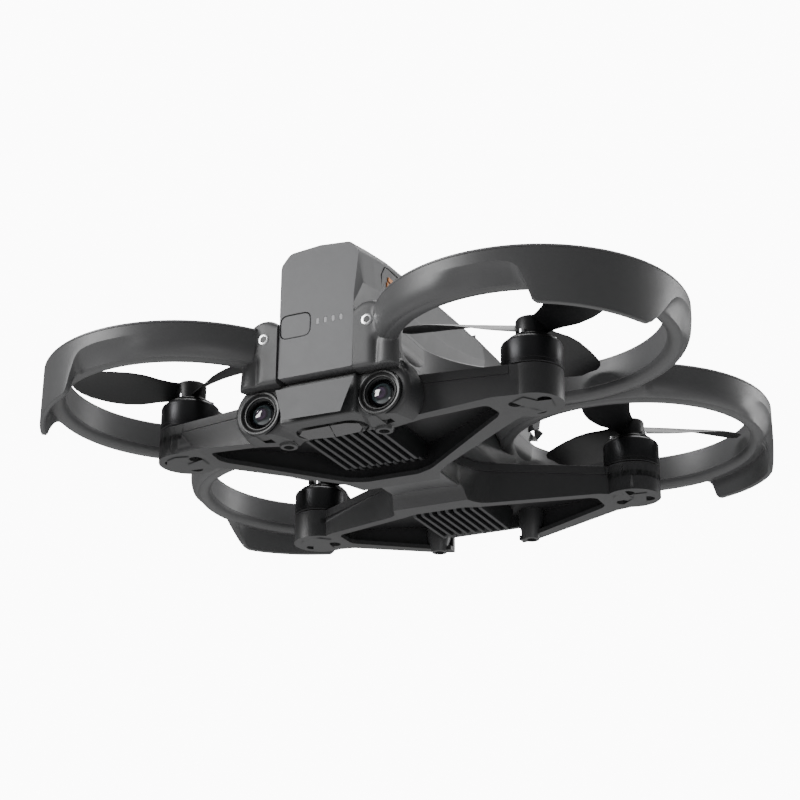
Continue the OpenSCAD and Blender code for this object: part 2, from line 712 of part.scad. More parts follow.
module camera_lens() {
  color("#0a0a0c") translate([0, cam_y, cam_z]) rotate([-90, 0, 0]) difference() {
    translate([0, 0, cam_r - 6]) cylinder(d = lens_d - 2, h = 5.4);
    translate([0, 0, cam_r - 2]) cylinder(d1 = 4, d2 = lens_d - 5, h = 1.5);
    translate([0, 0, cam_r - 5]) cylinder(d = 4, h = 6);
  }
}

module camera_glass() {
  color("#20242c") translate([0, cam_y, cam_z]) rotate([-90, 0, 0]) translate([0, 0,
    cam_r - 0.6]) cylinder(d = lens_d - 2, h = 1.2);
}

lower_frame();
deck_plate();
body_tub();
waist_panel();
heat_sink();
color("#4d4e50") duct_rim();  // duct_rim_right
color("#4d4e50") mirror([1, 0, 0]) duct_rim();  // duct_rim_left
color("#5b5c5e") duct_cap();  // duct_cap_right
color("#5b5c5e") mirror([1, 0, 0]) duct_cap();  // duct_cap_left
rear_housing();
rear_plate();
ear_screws();
pad_screws();
foot_screws();
sensor_barrel(1);  // sensor_barrel_right
sensor_barrel(-1);  // sensor_barrel_left
sensor_lens(1);  // sensor_lens_right
sensor_lens(-1);  // sensor_lens_left
window_rim();
window_half(1);  // window_sender
window_half(-1);  // window_receiver
motor_base(0);  // motor_base_rear_right
motor_base(1);  // motor_base_rear_left
motor_base(2);  // motor_base_front_right
motor_base(3);  // motor_base_front_left
motor_bell(0);  // motor_bell_rear_right
motor_bell(1);  // motor_bell_rear_left
motor_bell(2);  // motor_bell_front_right
motor_bell(3);  // motor_bell_front_left
motor_shaft(0);  // motor_shaft_rear_right
motor_shaft(1);  // motor_shaft_rear_left
motor_shaft(2);  // motor_shaft_front_right
motor_shaft(3);  // motor_shaft_front_left
propeller(0);  // propeller_rear_right
propeller(1);  // propeller_rear_left
propeller(2);  // propeller_front_right
propeller(3);  // propeller_front_left
prop_screws(0);  // prop_screws_rear_right
prop_screws(1);  // prop_screws_rear_left
prop_screws(2);  // prop_screws_front_right
prop_screws(3);  // prop_screws_front_left
battery_case();
battery_cells();
battery_board();
battery_plug();
charge_leds();
power_button();
color("#3a3a3c") latch();  // latch_right
color("#3a3a3c") mirror([1, 0, 0]) latch();  // latch_left
main_board();
speed_controller();
battery_socket();
hood();
tilt_motor();
camera_head();
camera_lens();
camera_glass();
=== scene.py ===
"""Looks of the ducted racing drone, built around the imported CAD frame.

Lengths are millimetres until a mesh is made.
"""
import json
import math

import bmesh
import bpy
from mathutils import Matrix, Vector


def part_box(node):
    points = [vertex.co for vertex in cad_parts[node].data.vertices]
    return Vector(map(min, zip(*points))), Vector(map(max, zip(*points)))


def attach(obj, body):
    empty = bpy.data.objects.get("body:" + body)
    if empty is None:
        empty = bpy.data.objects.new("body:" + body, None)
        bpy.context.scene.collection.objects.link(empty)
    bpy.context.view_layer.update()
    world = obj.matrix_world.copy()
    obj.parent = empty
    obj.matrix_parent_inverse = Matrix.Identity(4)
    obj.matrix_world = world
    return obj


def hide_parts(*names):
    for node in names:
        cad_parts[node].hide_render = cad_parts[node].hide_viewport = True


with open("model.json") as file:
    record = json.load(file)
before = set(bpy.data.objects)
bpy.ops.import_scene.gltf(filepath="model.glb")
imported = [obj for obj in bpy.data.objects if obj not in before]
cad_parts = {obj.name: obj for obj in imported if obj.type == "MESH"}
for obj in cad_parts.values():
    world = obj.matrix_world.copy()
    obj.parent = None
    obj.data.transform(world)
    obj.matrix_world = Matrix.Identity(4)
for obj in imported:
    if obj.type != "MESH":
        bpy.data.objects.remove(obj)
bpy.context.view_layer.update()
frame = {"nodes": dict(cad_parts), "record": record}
MM = 0.001
CORNERS = {"rear_right": (1, -1), "rear_left": (-1, -1), "front_right": (1, 1), "front_left": (-1, 1)}
SIDES = {"right": 1, "left": -1}


def box(node):
    """Lowest and highest corner of a CAD node in millimetres."""
    low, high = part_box(node)
    return Vector(low) / MM, Vector(high) / MM


JOINTS = {j["name"]: j for j in frame["record"]["behaviour"]["joints"]}
MX, MY = (abs(v) / MM for v in JOINTS["spin_rear_right"]["pos_m"][:2])
CAM_Y, CAM_Z = (v / MM for v in JOINTS["camera_tilt"]["pos_m"][1:])
FLANK = box("duct_cap_right")[0].x
TOP = box("duct_cap_right")[1].z
RING = box("duct_cap_right")[1].x - MX
RING_WALL = 7.5
RING_IN = RING - RING_WALL
SEAM_Z = box("duct_cap_right")[0].z
LOW = TOP - 11.7
EAR_Y = -box("body_tub")[0].y
DECK = box("deck_plate")[1].z
BELL_Z, BELL_TOP = box("motor_bell_rear_right")[0].z, box("motor_bell_rear_right")[1].z
BELL_R = (box("motor_bell_rear_right")[1].x - box("motor_bell_rear_right")[0].x) / 2
HEIGHT = box("battery_case")[1].z
BAT_OUT = box("battery_case")[1].x
BAT_FRONT = box("battery_case")[1].y


# ---------------------------------------------------------------- mesh helpers
def smooth(t):
    t = min(1, max(0, t))
    return t * t * (3 - 2 * t)


def mix(a, b, t):
    return a + (b - a) * t


def along(table, x):
    """Value at x on straight lines through the (x, value) pairs of table."""
    if x <= table[0][0]:
        return table[0][1]
    for (x0, v0), (x1, v1) in zip(table, table[1:]):
        if x <= x1:
            return mix(v0, v1, (x - x0) / (x1 - x0))
    return table[-1][1]


def arc(cx, cy, r, a0, a1, steps):
    """Points of an arc, both ends included, angles in degrees."""
    return [(cx + r * math.cos(math.radians(mix(a0, a1, k / steps))),
             cy + r * math.sin(math.radians(mix(a0, a1, k / steps)))) for k in range(steps + 1)]


def rounded(corners, steps=4):
    """Closed outline through (u, v, radius) corners, each with its fillet."""
    out = []
    n = len(corners)
    for i, (u, v, r) in enumerate(corners):
        here = Vector((u, v))
        back = Vector(corners[i - 1][:2]) - here
        ahead = Vector(corners[(i + 1) % n][:2]) - here
        if r <= 0:
            out.append((u, v))
            continue
        half = back.angle(ahead) / 2
        cut = min(r / math.tan(half), back.length * 0.49, ahead.length * 0.49)
        start, end = here + back.normalized() * cut, here + ahead.normalized() * cut
        for k in range(steps + 1):
            t = k / steps
            out.append(tuple(start * (1 - t) ** 2 + here * 2 * t * (1 - t) + end * t * t))
    return out


def lofted(rows, loop=False, caps=True):
    """Mesh through rows of points; each row is a closed ring, loop joins the last row to the first."""
    bm = bmesh.new()
    rings = [[bm.verts.new(p) for p in row] for row in rows]
    n = len(rings[0])
    pairs = list(zip(rings, rings[1:])) + ([(rings[-1], rings[0])] if loop else [])
    for a, b in pairs:
        for k in range(n):
            bm.faces.new((a[k], a[(k + 1) % n], b[(k + 1) % n], b[k]))
    if caps and not loop:
        bm.faces.new(rings[0][::-1])
        bm.faces.new(rings[-1])
    return bm


def lathed(profile, steps=64):
    """Mesh turned about Z from a list of (r, z); ends on the axis are closed."""
    bm = bmesh.new()
    rings = []
    for r, z in profile:
        if r < 1e-4:
            rings.append([bm.verts.new((0, 0, z))])
        else:
            rings.append([bm.verts.new((r * math.cos(2 * math.pi * k / steps),
                r * math.sin(2 * math.pi * k / steps), z))
                          for k in range(steps)])
    closed = profile[0] == profile[-1]
    for a, b in zip(rings, rings[1:]):
        for k in range(steps):
            j = (k + 1) % steps
            corner = [a[k % len(a)], a[j % len(a)], b[j % len(b)], b[k % len(b)]]
            unique = list(dict.fromkeys(corner))
            if len(unique) > 2:
                bm.faces.new(unique)
    if not closed:
        for ring in (rings[0], rings[-1]):
            if len(ring) > 1:
                bm.faces.new(ring)
    return bm


def prism(outline, z0, z1):
    """Straight prism on a closed (x, y) outline."""
    return lofted([[(x, y, z) for x, y in outline] for z in (z0, z1)])


def block(x0, x1, y0, y1, z0, z1):
    return prism([(x0, y0), (x1, y0), (x1, y1), (x0, y1)], z0, z1)


def moved(bm, matrix):
    bmesh.ops.transform(bm, matrix=matrix, verts=bm.verts)
    return bm


def place(x=0, y=0, z=0, turn=0, axis="Z"):
    return Matrix.Translation((x, y, z)) @ Matrix.Rotation(math.radians(turn), 4, axis)


def joined(*parts):
    """One bmesh holding all the parts."""
    whole = bmesh.new()
    for part in parts:
        copy = bpy.data.meshes.new("join")
        part.to_mesh(copy)
        part.free()
        whole.from_mesh(copy)
        bpy.data.meshes.remove(copy)
    return whole


def mesh_object(name, bm, sharp=32, scale=MM):
    """Object from a bmesh in millimetres, doubles merged, normals outward, creases sharp."""
    bmesh.ops.scale(bm, vec=(scale,) * 3, verts=bm.verts)
    bmesh.ops.remove_doubles(bm, verts=bm.verts, dist=0.004 * scale)
    bmesh.ops.recalc_face_normals(bm, faces=bm.faces)
    mesh = bpy.data.meshes.new(name)
    bm.to_mesh(mesh)
    bm.free()
    obj = bpy.data.objects.new(name, mesh)
    bpy.context.scene.collection.objects.link(obj)
    shade(obj, sharp)
    return obj


def shade(obj, sharp):
    obj.data.shade_smooth()
    obj.data.set_sharp_from_angle(angle=math.radians(sharp))


def settled(obj, sharp=None):
    """Turns the object's modifiers into plain mesh."""
    graph = bpy.context.evaluated_depsgraph_get()
    graph.update()
    mesh = bpy.data.meshes.new_from_object(obj.evaluated_get(graph))
    obj.modifiers.clear()
    obj.data = mesh
    if sharp is not None:
        shade(obj, sharp)
    return obj


def plain_normals(obj):
    """Drops stored corner normals, so that the next step starts from the faces."""
    for layer in [a for a in obj.data.attributes if a.name == "custom_normal"]:
        obj.data.attributes.remove(layer)


def bevelled(obj, width, segments=2, angle=30, sharp=50, weighted=False):
    """Rounded edges with even shading; weighted takes only the edges that carry a bevel weight."""
    plain_normals(obj)
    mod = obj.modifiers.new("Edges", "BEVEL")
    mod.width = width * MM
    mod.segments = segments
    mod.limit_method = "WEIGHT" if weighted else "ANGLE"
    mod.angle_limit = math.radians(angle)
    mod.use_clamp_overlap = True
    settled(obj, sharp)
    mod = obj.modifiers.new("Shading", "WEIGHTED_NORMAL")
    mod.keep_sharp = True
    mod.weight = 90
    return settled(obj)


def chamfered(obj, width):
    """Flat chamfer along every edge between an underside and a wall."""
    bm = bmesh.new()
    bm.from_mesh(obj.data)
    weight = bm.edges.layers.float.new("bevel_weight_edge")
    for edge in bm.edges:
        up = sorted(f.normal.z for f in edge.link_faces)
        edge[weight] = 1.0 if len(up) == 2 and up[0] < -0.8 and abs(up[1]) < 0.4 else 0.0
    bm.to_mesh(obj.data)
    bm.free()
    bevelled(obj, width, 1, weighted=True)
    layer = obj.data.attributes.get("bevel_weight_edge")
    if layer:
        obj.data.attributes.remove(layer)
    return obj


def carved(obj, cutters, operation="DIFFERENCE"):
    """Boolean with each cutter mesh in turn; the cutters are removed."""
    plain_normals(obj)
    for k, bm in enumerate(cutters):
        tool = mesh_object("cutter", bm)
        mod = obj.modifiers.new("Carve", "BOOLEAN")
        mod.operation = operation
        mod.solver = "EXACT"
        mod.object = tool
        settled(obj)
        bpy.data.objects.remove(tool)
    return obj


def blended(obj, voxel, rounds, factor=0.5):
    """Melts overlapping solids into one skin with soft fillets."""
    mod = obj.modifiers.new("Skin", "REMESH")
    mod.mode = "VOXEL"
    mod.voxel_size = voxel * MM
    mod = obj.modifiers.new("Relax", "SMOOTH")
    mod.factor = factor
    mod.iterations = rounds
    return settled(obj, 180)


def from_cad(node, width=0.3, segments=2, angle=30, flat=2):
    """A merged copy of a CAD node with its edges rounded."""
    bm = bmesh.new()
    bm.from_mesh(frame["nodes"][node].data)
    bmesh.ops.remove_doubles(bm, verts=bm.verts, dist=2e-6)
    bmesh.ops.dissolve_limit(bm, angle_limit=math.radians(flat), verts=bm.verts, edges=bm.edges)
    obj = mesh_object(node + "_look", bm, 30, 1)
    return bevelled(obj, width, segments, angle)


# ---------------------------------------------------------------- shader helpers
class Value:
    """A node socket that can be added, subtracted and multiplied."""

    def __init__(self, look, socket):
        self.look, self.socket = look, socket

    def maths(self, operation, first, second):
        return self.look.node("ShaderNodeMath", {"operation": operation}, {0: first, 1: second})

    def __add__(self, other):
        return self.maths("ADD", self, other)

    def __sub__(self, other):
        return self.maths("SUBTRACT", self, other)

    def __rsub__(self, other):
        return self.maths("SUBTRACT", other, self)

    def __mul__(self, other):
        return self.maths("MULTIPLY", self, other)

    __radd__ = __add__
    __rmul__ = __mul__

    def above(self, other):
        return self.maths("GREATER_THAN", self, other)


class Graph:
    """A node tree under construction."""

    def __init__(self, tree):
        self.tree = tree

    def node(self, kind, settings=None, sockets=None, out=0):
        made = self.tree.nodes.new(kind)
        for key, value in (settings or {}).items():
            if key == "stops":
                for k, (spot, colour) in enumerate(value):
                    stop = made.color_ramp.elements[k] if k < 2 else made.color_ramp.elements.new(spot)
                    stop.position = spot
                    stop.color = (*colour, 1)
            else:
                setattr(made, key, value)
        for key, value in (sockets or {}).items():
            if isinstance(value, Value):
                self.tree.links.new(value.socket, made.inputs[key])
            else:
                made.inputs[key].default_value = value
        return Value(self, made.outputs[out]) if made.outputs else None


class Look(Graph):
    """One material and the nodes that paint it."""

    def __init__(self, name):
        self.material = bpy.data.materials.new(name)
        self.material.use_nodes = True
        super().__init__(self.material.node_tree)
        self.tree.nodes.clear()
        self.place = self.node("ShaderNodeTexCoord", out="Object")

    def noise(self, size, detail=2.0, rough=0.5, stretch=(1, 1, 1)):
        """Noise whose features are about size millimetres across."""
        spot = self.node("ShaderNodeMapping", {"vector_type": "POINT"}, {"Vector": self.place,
            "Scale": stretch})
        return self.node("ShaderNodeTexNoise", None, {"Vector": spot, "Scale": 1 / (size * MM),
            "Detail": detail, "Roughness": rough})

    def tint(self, factor, dark, light):
        return self.node("ShaderNodeMix", {"data_type": "RGBA"}, {0: factor, 6: (*dark, 1), 7: (*light, 1)},
                         2)

    def bump(self, height, depth, strength=1.0):
        return self.node("ShaderNodeBump", None, {"Height": height, "Distance": depth * MM,
            "Strength": strength})

    def surface(self, sockets):
        shader = self.node("ShaderNodeBsdfPrincipled", None, sockets)
        self.node("ShaderNodeOutputMaterial", None, {"Surface": shader})
        return self.material


def scaled(colour, k):
    return tuple(c * k for c in colour)


def moulded(name, colour, rough=0.5, grain=0.25, depth=0.02, spec=0.5, coat=0.0):
    """Moulded plastic with a fine spark-eroded grain and slight unevenness."""
    look = Look(name)
    cloud = look.noise(14, 3)
    fine = look.noise(grain, 3, 0.6)
    wear = look.noise(3.2, 4, 0.65)
    base = look.tint(cloud * 0.7 + fine * 0.3, scaled(colour, 0.86), scaled(colour, 1.14))
    gloss = rough - 0.07 + wear * 0.1 + fine * 0.05
    return look.surface({"Base Color": base, "Roughness": gloss, "Specular IOR Level": spec,
                         "Coat Weight": coat,
                         "Coat Roughness": 0.2, "Normal": look.bump(fine, depth)})


def metal(name, colour, rough, streak=(1, 1, 1), size=0.3, metallic=1.0, depth=0.004):
    """Metal with fine machining marks."""
    look = Look(name)
    lines = look.noise(size, 3, 0.55, streak)
    cloud = look.noise(5, 3)
    base = look.tint(cloud, scaled(colour, 0.88), scaled(colour, 1.12))
    return look.surface({"Base Color": base, "Roughness": rough - 0.06 + lines * 0.12, "Metallic": metallic,
                         "Normal": look.bump(lines, depth)})


def painted_reflection_lens_look(name, centre, radius, dark, tint, glow):
    """Coated lens: dark centre with coloured rings of reflection painted into its base colour."""
    look = Look(name)
    away = look.node("ShaderNodeVectorMath", {"operation": "SUBTRACT"}, {0: look.place,
        1: tuple(c * MM for c in centre)})
    span = look.node("ShaderNodeVectorMath", {"operation": "LENGTH"}, {0: away}, "Value")
    # ramp by distance from the centre paints the coloured reflection rings
    ring = look.node("ShaderNodeValToRGB", {"stops": [(0.0, dark), (1.0, dark), (0.34, tint), (0.5, dark),
        (0.72, glow), (0.86, dark)]},
                     {"Fac": span * (1 / (radius * MM))})
    haze = look.noise(1.5, 2)
    return look.surface({"Base Color": ring, "Roughness": 0.03 + haze * 0.03, "Coat Weight": 1.0,
                         "Coat Roughness": 0.02,
                         "Specular IOR Level": 0.8})


FRAME_PLASTIC = moulded("Frame plastic", (0.028, 0.0284, 0.0295), 0.42, 0.22, 0.02)
# near-black plastic that paints shade on the trays' inside
TRAY_PAINTED_SHADE = moulded("Tray inside", (0.008, 0.008, 0.009), 0.6, 0.3, 0.02)
DUCT_PLASTIC = moulded("Duct plastic", (0.062, 0.0625, 0.064), 0.42, 0.2, 0.016)
CAP_PLASTIC = moulded("Duct cap plastic", (0.085, 0.0855, 0.088), 0.42, 0.2, 0.016)
BODY_PLASTIC = moulded("Body plastic", (0.055, 0.0555, 0.057), 0.44, 0.2, 0.016)
BATTERY_PLASTIC = moulded("Battery plastic", (0.13, 0.131, 0.135), 0.5, 0.2, 0.02)
PLATE_PLASTIC = moulded("Rear plate plastic", (0.1, 0.101, 0.104), 0.5, 0.2, 0.02)
BLADE_GLOSS = moulded("Blade plastic", (0.004, 0.004, 0.0045), 0.4, 0.5, 0.003, 0.3)
BARREL_BLACK = moulded("Barrel black", (0.005, 0.005, 0.0055), 0.3, 0.3, 0.004)
WINDOW_BLACK = moulded("Window black", (0.035, 0.034, 0.036), 0.22, 0.6, 0.002)
ORANGE = moulded("Latch orange", (0.75, 0.24, 0.02), 0.45, 0.2, 0.01)
LED_MILK = moulded("Lamp window", (0.33, 0.33, 0.34), 0.35, 0.3, 0.003)
BOARD_GREEN = moulded("Board lacquer", (0.012, 0.07, 0.03), 0.3, 0.6, 0.01)
BOARD_BLUE = moulded("Controller lacquer", (0.01, 0.04, 0.11), 0.3, 0.6, 0.01)
CELL_WRAP = moulded("Cell wrap", (0.02, 0.06, 0.16), 0.35, 0.8, 0.01)
BELL_METAL = metal("Bell metal", (0.03, 0.03, 0.032), 0.36, (1, 1, 14), 1.2, 0.75)
SINK_METAL = metal("Cooler metal", (0.045, 0.046, 0.048), 0.44, (3, 1, 3), 0.8, 0.7)
STEEL = metal("Screw steel", (0.62, 0.62, 0.63), 0.26)
SCREW_BLACK = metal("Blackened screw", (0.012, 0.012, 0.013), 0.42, metallic=0.6)
COPPER = metal("Winding lacquer", (0.035, 0.024, 0.018), 0.4, (1, 1, 8), 0.5, 0.5)


def copy_tree(name, sizes):
    """Geometry tree that repeats its own mesh; sizes are its named inputs."""
    tree = bpy.data.node_groups.new(name, "GeometryNodeTree")
    for label, kind in {"Shape": "Geometry", **sizes, "Finish": "Material"}.items():
        tree.interface.new_socket(label, in_out="INPUT", socket_type="NodeSocket" + kind)
    tree.interface.new_socket("Copies", in_out="OUTPUT", socket_type="NodeSocketGeometry")
    graph = Graph(tree)
    entry = tree.nodes.new("NodeGroupInput")
    return graph, {s.name: Value(graph, s) for s in entry.outputs if s.name}


def finish_tree(graph, spread, finish):
    whole = graph.node("GeometryNodeRealizeInstances", None, {0: spread})
    painted = graph.node("GeometryNodeSetMaterial", None, {"Geometry": whole, "Material": finish})
    graph.node("NodeGroupOutput", None, {0: painted})
    return graph.tree


def ring_tree():
    """Copies turned round the Z axis, pushed out by a radius."""
    graph, given = copy_tree("Ring of copies", {"Count": "Int", "Radius": "Float", "Turn": "Float"})
    spots = graph.node("GeometryNodeMeshLine", None, {"Count": given["Count"], "Offset": (0, 0, 0)})
    step = graph.node("ShaderNodeMath", {"operation": "DIVIDE"}, {0: 2 * math.pi, 1: given["Count"]})
    angle = graph.node("GeometryNodeInputIndex") * step + given["Turn"]
    turn = graph.node("ShaderNodeCombineXYZ", None, {"Z": angle})
    spread = graph.node("GeometryNodeInstanceOnPoints", None, {"Points": spots, "Instance": given["Shape"],
        "Rotation": turn})
    out = graph.node("ShaderNodeCombineXYZ", None, {"X": given["Radius"]})
    pushed = graph.node("GeometryNodeTranslateInstances", None, {"Instances": spread, "Translation": out,
        "Local Space": True})
    return finish_tree(graph, pushed, given["Finish"])


def row_tree():
    """Copies in a straight row."""
    graph, given = copy_tree("Row of copies", {"Count": "Int", "Step": "Vector"})
    spots = graph.node("GeometryNodeMeshLine", None, {"Count": given["Count"], "Offset": given["Step"]})
    spread = graph.node("GeometryNodeInstanceOnPoints", None, {"Points": spots, "Instance": given["Shape"]})
    return finish_tree(graph, spread, given["Finish"])


RING_TREE, ROW_TREE = ring_tree(), row_tree()


def repeated(bm, tree, material, matrix=None, **sizes):
    """bmesh in millimetres of the shape repeated by a tree."""
    obj = mesh_object("repeat", bm)
    mod = obj.modifiers.new("Copies", "NODES")
    mod.node_group = tree
    names = {item.name: item.identifier for item in tree.interface.items_tree if item.in_out == "INPUT"}
    for label, value in {**sizes, "Finish": material}.items():
        mod[names[label]] = value
    settled(obj)
    out = bmesh.new()
    out.from_mesh(obj.data)
    bpy.data.objects.remove(obj)
    bmesh.ops.scale(out, vec=(1 / MM,) * 3, verts=out.verts)
    return moved(out, matrix) if matrix else out


def taken(obj):
    """The object's mesh as a bmesh in millimetres; the object is removed."""
    bm = bmesh.new()
    bm.from_mesh(obj.data)
    bpy.data.objects.remove(obj)
    bmesh.ops.scale(bm, vec=(1 / MM,) * 3, verts=bm.verts)
    return bm


def piece(obj, body, material, slot, *nodes):
    """Gives a finished mesh its material and body and hides the CAD nodes that it stands for; slot is not
    used.
    """
    obj.data.materials.clear()
    obj.data.materials.append(material)
    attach(obj, body)
    if nodes:
        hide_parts(*nodes)
    return obj


# ---------------------------------------------------------------- ducts
# Lower edge of the rear right ring's outer face by angle: the scoops rise beside the deep corner skirt
CREASE = [(-180, 29.2), (-84, 29.2), (-79, 28.9), (-75.2, 28.2), (-73.1, 26.8), (-71.5, 24.2), (-69.7, 20.2),
          (-68.4, 17.2), (-66.8, 16.2), (-60, 16.0), (-42, 15.3), (-30, 14.75), (-26.5, 14.7), (-24, 15.4),
          (-21, 17.4),
          (-16, 21.7), (-12, 25.2), (-8.5, 27.4), (-4, 28.8), (2, 29.3), (180, 29.2)]
SKIRT_IN, SKIRT_OUT = (-74.5, -68.5), (-25.5, -11.0)
PINCH_FILLET = 4.0


def ring_reach(theta):
    """How far the duct reaches from its axis: its own radius, the fillet to its twin, or the body's flank."""
    a = math.radians(theta)
    dx, dy = math.cos(a), math.sin(a)
    cx = math.sqrt((RING + PINCH_FILLET) ** 2 - MY ** 2)
    meet = math.degrees(math.atan2(MY, cx))
    edge = math.degrees(math.atan2(MY, cx - PINCH_FILLET))
    reach = RING
    if meet < theta <= edge:
        mid = dx * cx + dy * MY
        reach = mid - math.sqrt(max(0, mid * mid - (cx * cx + MY * MY - PINCH_FILLET ** 2)))
    elif edge < theta < 150:
        reach = MY / dy
    if dx < 0:
        flank = (MX - FLANK) / -dx
        reach = min(reach, flank) if theta > edge else min(RING, flank)
    return reach


def rim_section(theta):
    """Closed section (r, z) of the outer shell at an angle."""
    out = ring_reach(theta)
    free = 1 if abs(out - RING) < 1e-6 else 0
    crease = along(CREASE, theta)
    skirt = (smooth((theta - SKIRT_IN[0]) / (SKIRT_IN[1] - SKIRT_IN[0]))
             * (1 - smooth((theta - SKIRT_OUT[0]) / (SKIRT_OUT[1] - SKIRT_OUT[0]))))
    crisp = smooth((theta + 106) / 14) * (1 - smooth((theta - 6) / 18))
    lip_r, lip_z = mix(RING - 2.9, RING - 0.9, skirt), mix(LOW + 0.7, crease - 0.1, skirt)
    seam = TOP - 1.15
    pts = [(out, seam), (out, mix(seam, crease, 0.5)), (out, crease + 0.55), (out - 0.03, crease + 0.2)]
    for k in range(1, 8):
        t = k / 8
        hollow = (mix(out, lip_r, t ** 0.72), mix(crease, lip_z, t ** 1.05))
        bulge = (mix(lip_r, out, math.cos(t * math.pi / 2) ** 0.9), mix(crease, lip_z,
            math.sin(t * math.pi / 2)))
        c = max(crisp, skirt)
        pts.append((mix(bulge[0], hollow[0], c), mix(bulge[1], hollow[1], c)))
    pts += [(lip_r, lip_z), (lip_r - 0.3, mix(lip_z - 0.3, lip_z - 0.05, skirt)),
            (mix(lip_r - 0.8, lip_r - 0.75, skirt), mix(LOW + 0.12, lip_z + 0.3, skirt)),
            (mix(RING - 4.1, RING - 2.1, skirt), mix(LOW, mix(LOW, lip_z, 0.55), skirt)),
            (mix(RING - 4.7, RING - 2.9, skirt), mix(LOW, LOW + 0.2, skirt)),
            (RING - 5.5, LOW), (RING - 6.3, LOW + 0.35), (RING - 7.0, LOW + 1.0), (RING - 7.4, LOW + 1.9),
            (RING_IN, LOW + 2.7),
            (RING_IN, SEAM_Z - 0.16), (RING_IN + 0.15, SEAM_Z), (RING_IN + 1.4, SEAM_Z), (RING_IN + 1.4,
                seam + 0.1),
            (out - 0.15 * free, seam + 0.1)]
    return pts


def cap_section(theta):
    """Closed section of the inner wall and top band at an angle."""
    out = ring_reach(theta)
    free = 1 if abs(out - RING) < 1e-6 else 0
    low = TOP - 0.98
    return [(out - 0.12 * free, low), (out, low + 0.12), (out, TOP - 0.55), (out - 0.2 * free, TOP - 0.2),
            (out - 0.6 * free, TOP),
            (RING_IN + 0.9, TOP), (RING_IN + 0.4, TOP - 0.15), (RING_IN + 0.08, TOP - 0.5), (RING_IN,
                TOP - 1),
            (RING_IN, SEAM_Z + 0.3), (RING_IN + 0.15, SEAM_Z + 0.12), (RING_IN + 1.3, SEAM_Z + 0.12),
            (RING_IN + 1.3, low)]


def ring_angles():
    """Angles round a duct, closer together where the skirt begins and ends and at the joins."""
    fixed = [-180 + 2.5 * k for k in range(145)]
    fine = [-80 + 0.5 * k for k in range(31)] + [-30 + 0.75 * k for k in range(34)]
    cx = math.sqrt((RING + PINCH_FILLET) ** 2 - MY ** 2)
    joins = [math.degrees(math.atan2(MY, cx)), math.degrees(math.atan2(MY, cx - PINCH_FILLET)),
             math.degrees(math.atan2(MY, FLANK - MX)), 180 - math.degrees(math.acos((MX - FLANK) / RING)),
             -180 + math.degrees(math.acos((MX - FLANK) / RING))]
    joins += [mix(joins[0], joins[1], k / 5) for k in range(1, 5)]
    keep = sorted(set(round(a, 4) for a in fixed + fine + joins))
    return [a for a, b in zip(keep, keep[1:] + [keep[0] + 360]) if b - a > 0.2][:]


def duct_pair(section):
    """Both rings of the right side as one closed figure of eight, open only where they touch each other."""
    half = bmesh.new()
    angles = ring_angles()
    rows = []
    for a in angles:
        c, s = math.cos(math.radians(a)), math.sin(math.radians(a))
        rows.append([half.verts.new((MX + r * c, min(0, -MY + r * s), z)) for r, z in section(a)])
    n = len(rows[0])
    for a, b in zip(rows, rows[1:] + rows[:1]):
        for k in range(n):
            ring = (a[k], a[(k + 1) % n], b[(k + 1) % n], b[k])
            if not all(abs(v.co.y) < 1e-5 for v in ring):
                half.faces.new(ring)
    twin = half.copy()
    moved(twin, Matrix.Scale(-1, 4, (0, 1, 0)))
    return joined(half, twin)


for side, sign in SIDES.items():
    for kind, section, material, slot in (("duct_rim_", rim_section, DUCT_PLASTIC, "duct_grey"),
        ("duct_cap_", cap_section, CAP_PLASTIC, "duct_edge")):
        ring = duct_pair(section)
        if sign < 0:
            moved(ring, Matrix.Scale(-1, 4, (1, 0, 0)))
        piece(mesh_object(kind + side + "_look", ring, 24), "airframe", material, slot, kind + side)


# ---------------------------------------------------------------- body between the ducts
def ring_column(sign_x, sign_y, radius, z0, z1):
    return moved(lathed([(0, z0), (radius, z0), (radius, z1), (0, z1)], 160), place(sign_x * MX, sign_y * MY))


SENSOR_LOW, SENSOR_HIGH = box("sensor_barrel_right")
SENSOR_X, SENSOR_Z = (SENSOR_LOW.x + SENSOR_HIGH.x) / 2, (SENSOR_LOW.z + SENSOR_HIGH.z) / 2
SENSOR_R = (SENSOR_HIGH.x - SENSOR_LOW.x) / 2
EAR_X = (box("ear_screws")[1].x - 2.3)
EAR_Z = (box("ear_screws")[0].z + box("ear_screws")[1].z) / 2


def rearward(bm, x, y, z):
    """Turns a lathed part to face the rear and puts it in place."""
    return moved(bm, Matrix.Translation((x, y, z)) @ Matrix.Rotation(math.radians(90), 4, "X"))


def duct_root(sx, sy):
    """Start of a duct ring, sunk into the real ring at its far end, so that the body flows into it."""
    rows = []
    for k in range(15):
        theta = mix(-168, -124, k / 14)
        swell = mix(0.1, -0.7, smooth((k - 6) / 8))
        c, s = math.cos(math.radians(theta)), math.sin(math.radians(theta))
        section = [(RING_IN + 0.6, LOW + 1.5), (RING - 4.5, LOW - swell), (RING - 1.5 + swell, LOW + 3),
                   (RING + swell, TOP - 4), (RING + swell, TOP - 1.4), (RING_IN + 0.6, TOP - 1.4)]
        rows.append([(sx * (MX + r * c), sy * (MY - r * s), z) for r, z in section])
    return lofted(rows)


